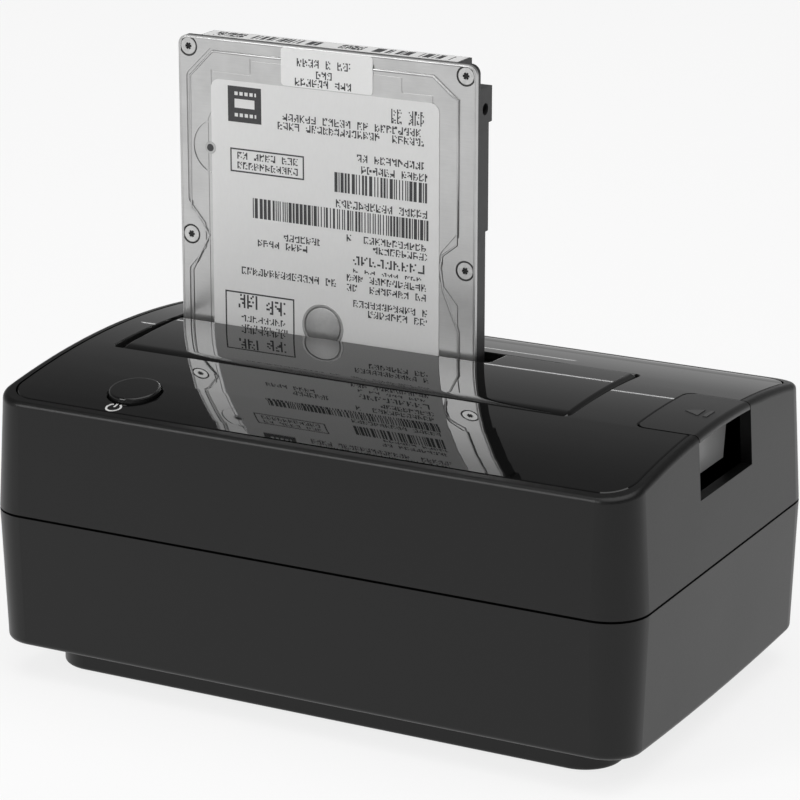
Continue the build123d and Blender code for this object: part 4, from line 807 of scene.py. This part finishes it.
sticker_rows = ((28.5, 41.0, 97.0, 1.7), (33.0, 38.0, 94.7, 1.6), (28.0, 42.0, 92.9, 1.6))
sticker_ink = [type_row(*row_place, sticker_front) for row_place in sticker_rows]
label_print = joined("label_print", *label_ink, *sticker_ink)
ink_skin(label_print, "drive")

end_low, end_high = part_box("drive_end_label")
end_margin, end_cell, end_share, type_lines = 0.7 * mm, 0.3, 0.55, 9
end_depth = end_high.y - end_low.y - 2 * end_margin
end_middle, ink_top = (end_low.y + end_high.y) / 2, end_high.z + ink_thick
end_marks = []
end_blocks = ((2.0, 9.0, type_lines), (11.0, 27.0, 1), (31.5, 37.0, type_lines), (39.5, 57.5, 1))
for left, right, lines in end_blocks:
    columns = round((right - left) / end_cell)
    middle = (end_low.x + (left + right) / 2 * mm, end_middle, ink_top)
    patch = added(bpy.ops.mesh.primitive_grid_add, ((right - left) * mm, end_depth, 1.0), size=1.0,
                  x_subdivisions=columns, y_subdivisions=lines, location=middle)
    cells = [(column, row) for column in range(columns) for row in range(lines)]
    dark = {cell for cell in cells if dice.random() < end_share}

    def blank(face):
        column = int((face.center.x - end_low.x - left * mm) / ((right - left) * mm) * columns)
        row = int((face.center.y - end_low.y - end_margin) / end_depth * lines)
        return (column, row) not in dark

    cut_away(patch, blank)
    end_marks.append(patch)
end_print = joined("end_label_print", *end_marks)
ink_skin(end_print, "drive")

# Ribs of the cover
# The press draws a low rounded rib along each stamped line and round the edge, so that the
# thin sheet is stiff. The rib breaks off where the sticker lies.

cover_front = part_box("drive_cover")[0].y
rib_radius, edge_depth, line_depth = 0.30 * mm, 0.22 * mm, 0.14 * mm

# All in millimetres from the drive's lower left corner.
near, far, top = 0.35, 69.5, 99.85
turn, trim = 1.6, 0.45
edge_run = [
    (near, near + turn), (near, top - turn), (near + trim, top - trim), (near + turn, top),
    (far - turn, top), (far - trim, top - trim), (far, top - turn), (far, near + turn),
    (far - trim, near + trim), (far - turn, near), (near + turn, near), (near + trim, near + trim),
]
left_run = [
    (2.7, 9.0), (2.7, 49.6), (6.8, 57.6), (3.7, 62.2), (2.5, 63.1), (2.7, 91.7), (8.2, 97.3),
    (24.6, 97.24),
]
right_run = [
    (46.3, 97.15), (60.0, 97.1), (63.8, 93.9), (65.7, 92.7), (65.6, 62.6), (62.3, 60.0),
    (61.7, 57.3), (62.4, 52.6), (65.9, 44.2), (65.9, 9.0),
]

rib_line = bpy.data.curves.new("cover_ribs", "CURVE")
rib_line.dimensions = "3D"
rib_line.bevel_resolution = 2
rib_line.bevel_depth = rib_radius
rib_line.use_fill_caps = True
rib_runs = (
    (edge_run, True, edge_depth), (left_run, False, line_depth), (right_run, False, line_depth),
)
for run, closed, depth in rib_runs:
    spline = rib_line.splines.new("POLY")
    spline.points.add(len(run) - 1)
    spline.use_cyclic_u = closed
    for point, (across, up) in zip(spline.points, run):
        point.co = (drive_left + across * mm, cover_front + depth, drive_bottom + up * mm, 1.0)
cover_ribs = bpy.data.objects.new("cover_ribs", rib_line)
bpy.context.scene.collection.objects.link(cover_ribs)
pick(cover_ribs)
bpy.ops.object.convert(target="MESH")
cover_ribs = bpy.context.active_object
bpy.ops.object.shade_smooth_by_angle(angle=math.radians(50.0))
cover_ribs.data.materials.append(cover_steel.material)
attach(cover_ribs, "drive")

# Spindle cap and vent
# A turned steel cap closes the spindle in the label's window. The vent at the left is a small
# pressed ring whose middle is inked black, as painted shade for its hole.

cap_metal = Finish("cap_metal", Metallic=1.0)
cap_cloud = cap_metal.place.noise(0.9 * mm, 4.0, 0.7)
cap_metal.vary(cap_cloud, 0.40, (0.60, 0.60, 0.595), smooth=0.44, rough=0.56)
cap_metal.bump(cap_cloud, 0.006 * mm)

disc_proud, ring_wall, ring_bevel = 0.05, 0.06, 0.03


def turned_disc(name, across, up, radius, tall, steps):
    """A flat disc on the drive's face, with rings pressed into it, each an inset and a sink."""
    disc_y = label_front + (disc_proud - tall / 2) * mm
    disc = added(
        bpy.ops.mesh.primitive_cylinder_add, vertices=96, radius=radius * mm, depth=tall * mm,
        rotation=(math.pi / 2, 0.0, 0.0),
        location=(drive_left + across * mm, disc_y, drive_bottom + up * mm),
    )
    disc.name = name
    for face in disc.data.polygons:
        face.select = face.normal.y < -0.9
    bpy.ops.object.mode_set(mode="EDIT")
    bpy.ops.mesh.select_mode(type="FACE")
    for inset, sink in steps:
        bpy.ops.mesh.inset(thickness=inset * mm)
        bpy.ops.mesh.inset(thickness=ring_wall * mm)
        bpy.ops.transform.translate(value=(0.0, sink * mm, 0.0))
    bpy.ops.object.mode_set(mode="OBJECT")
    modified(disc, "BEVEL", width=ring_bevel * mm, segments=2, limit_method="ANGLE")
    bpy.ops.object.shade_smooth_by_angle(angle=math.radians(20.0))
    disc.data.materials.append(cap_metal.material)
    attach(disc, "drive")
    return disc


cap_steps = ((0.55, 0.09), (0.16, -0.09))
turned_disc("spindle_cap", 34.2, 41.1, radius=4.9, tall=0.14, steps=cap_steps)

vent_across, vent_up, painted_hole_radius = 7.5, 76.7, 0.80
vent_steps = ((0.50, 0.04),)
vent_ring = turned_disc("vent_ring", vent_across, vent_up, radius=1.30, tall=0.12, steps=vent_steps)
# The ring's middle gets the black ink: painted shade for the depth of the vent hole.
vent_ring.data.materials.append(thermal_ink.material)
for face in vent_ring.data.polygons:
    from_middle = math.hypot(
        face.center.x - drive_left - vent_across * mm, face.center.z - drive_bottom - vent_up * mm
    )
    face.material_index = 1 if from_middle < painted_hole_radius * mm and face.normal.y < -0.5 else 0

# Cover screws
# Small plated screws with flat heads and a star recess, painted dark inside as shade. Each sits
# in a pressed seat; a black ring round each head is painted shade for the shadow in its seat.

screw_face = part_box("drive_cover_screws")[0].y
recess_depth, shade_ring_depth = 0.14 * mm, 0.16 * mm
shade_ring_radius, shade_ring_thick = 1.95 * mm, 0.19 * mm
screw_columns, screw_rows = (2.4, 67.45), (2.6, 57.4, 97.9)

cover_screw_steel = Finish("cover_screw_steel", Metallic=1.0)
head_cloud = cover_screw_steel.place.noise(0.7 * mm, 3.0)
# The inside of each star recess is painted near black: painted shade, not a dark plating.
recess_painted_shade = cover_screw_steel.place.part("Y") > screw_face + recess_depth
plated = head_cloud.blend(0.42, (0.74, 0.74, 0.73))
cover_screw_steel.feed("Base Color", recess_painted_shade.blend(plated, 0.035))
cover_screw_steel.feed("Roughness", head_cloud * 0.16 + 0.24)
cover_screw_steel.bump(head_cloud, 0.008 * mm)
cover_screw_steel.on("drive_cover_screws")

# The black rings round the heads are painted shade: dark tori put where the seats hold shadow.
seat_shade_black = Finish("seat_shade_black", IOR=1.5)
seat_shade_cloud = seat_shade_black.place.noise(0.3 * mm, 3.0)
seat_shade_black.vary(seat_shade_cloud, 0.020, (0.050, 0.050, 0.049), smooth=0.5, rough=0.7)
seat_shade_rings = []
for across in screw_columns:
    for up in screw_rows:
        seat_shade_rings.append(added(
            bpy.ops.mesh.primitive_torus_add, major_radius=shade_ring_radius, minor_radius=shade_ring_thick,
            major_segments=48, minor_segments=8, rotation=(math.pi / 2, 0.0, 0.0),
            location=(drive_left + across * mm, screw_face + shade_ring_depth, drive_bottom + up * mm),
        ))
        bpy.ops.object.shade_smooth()
screw_seat_shade = joined("screw_seat_shade", *seat_shade_rings)
screw_seat_shade.data.materials.append(seat_shade_black.material)
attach(screw_seat_shade, "drive")

# Floor
# A pale sweep that runs to the horizon. The glow that camera and gloss see of it is painted:
# white for about a metre and greyer beyond, a painted pool of light. Most of what is seen of it
# is that glow. The rest is lit, so that the station has its shadow.

floor_size, shade_reach, plain_share = 40.0, 3.5, 0.80

floor = added(bpy.ops.mesh.primitive_plane_add, size=floor_size)
floor.name = "floor"
floor_white = Finish("floor_white", Roughness=0.9, Specular_IOR_Level=0.0)
floor_white.feed("Base Color", floor_white.place.noise(0.4, 2.0).blend(0.93, 0.94))
on_floor = floor_white.place
from_station = on_floor.node("VectorMath", {"operation": "LENGTH"}, {0: on_floor}, 1)
# Painted pool of light: the glow is white near the station and greyer further off.
painted_light_pool = from_station.node("ValToRGB", {"stops": (
    (0.0, 1.0), (0.30, 1.0), (0.42, 0.72), (0.52, 0.50), (1.0, 0.42),
)}, {0: from_station * (1.0 / shade_reach)})
paths = on_floor.node("LightPath").socket.node.outputs
straight, mirrored, through = [
    Wire(paths[kind]) for kind in ("Is Camera Ray", "Is Glossy Ray", "Is Transmission Ray")
]
seen = straight + mirrored + through
painted_pool_glow = seen.node("Emission", None, {"Color": painted_light_pool, "Strength": 1.0})
lit_floor = Wire(floor_white.shader.outputs["BSDF"])
sweep = seen.node("MixShader", None, {0: seen * plain_share, 1: lit_floor, 2: painted_pool_glow})
floor_tree = floor_white.material.node_tree
floor_tree.links.new(sweep.socket, floor_tree.nodes["Material Output"].inputs["Surface"])
floor.data.materials.append(floor_white.material)

# Lamps and room
# One broad soft lamp overhead, a softbox at the front left, and two thin slits behind, whose
# bright lines cross the inlay. The room is palest near the floor and darker above.

inlay_middle, slit_reach = (30 * mm, 8 * mm, 63 * mm), 3.0


def area_lamp(name, long, high, watts, place, turn):
    """A rectangular area lamp."""
    lamp_data = bpy.data.lights.new(name, "AREA")
    lamp_data.shape = "RECTANGLE"
    lamp_data.size = long
    lamp_data.size_y = high
    lamp_data.energy = watts
    lamp = bpy.data.objects.new(name, lamp_data)
    lamp.location = place
    lamp.rotation_euler = turn
    bpy.context.scene.collection.objects.link(lamp)


def soft_lamp(name, size, watts, place, aim):
    """A square lamp that faces a point."""
    reach = [there - here for here, there in zip(place, aim)]
    tilt = math.atan2(math.hypot(reach[0], reach[1]), -reach[2])
    area_lamp(name, size, size, watts, place, (tilt, 0.0, math.atan2(-reach[0], reach[1])))


def slit_lamp(name, long, high, watts, direction):
    """A thin bright strip far behind, which faces the inlay's middle."""
    across, back, up = direction
    place = [middle + slit_reach * step for middle, step in zip(inlay_middle, direction)]
    tilt = math.pi / 2 - math.atan2(up, math.hypot(across, back))
    area_lamp(name, long, high, watts, place, (tilt, 0.0, math.atan2(across, -back)))


soft_lamp("overhead", size=2.6, watts=39.0, place=(0.48, -0.25, 2.1), aim=(0.1, 0.0, 0.0))
soft_lamp("front_left", size=0.6, watts=8.0, place=(-0.67, -1.17, 0.75), aim=(0.0, 0.0, 0.08))
slit_lamp("high_slit", long=0.62, high=0.011, watts=0.055, direction=(-0.447, 0.863, 0.233))
slit_lamp("low_slit", long=0.30, high=0.010, watts=0.014, direction=(-0.447, 0.890, 0.0645))

room = bpy.data.worlds.new("room")
room.use_nodes = True
bpy.context.scene.world = room
sky = Wire(room.node_tree.nodes.new("ShaderNodeTexCoord").outputs["Generated"])
shades = sky.node("ValToRGB", {"stops": (
    (0.0, 0.50), (0.07, 0.46), (0.15, 0.39), (0.30, 0.29), (0.44, 0.20), (0.56, 0.15), (1.0, 0.13),
)}, {0: sky.part("Z")})
room.node_tree.links.new(shades.socket, room.node_tree.nodes["Background"].inputs["Color"])
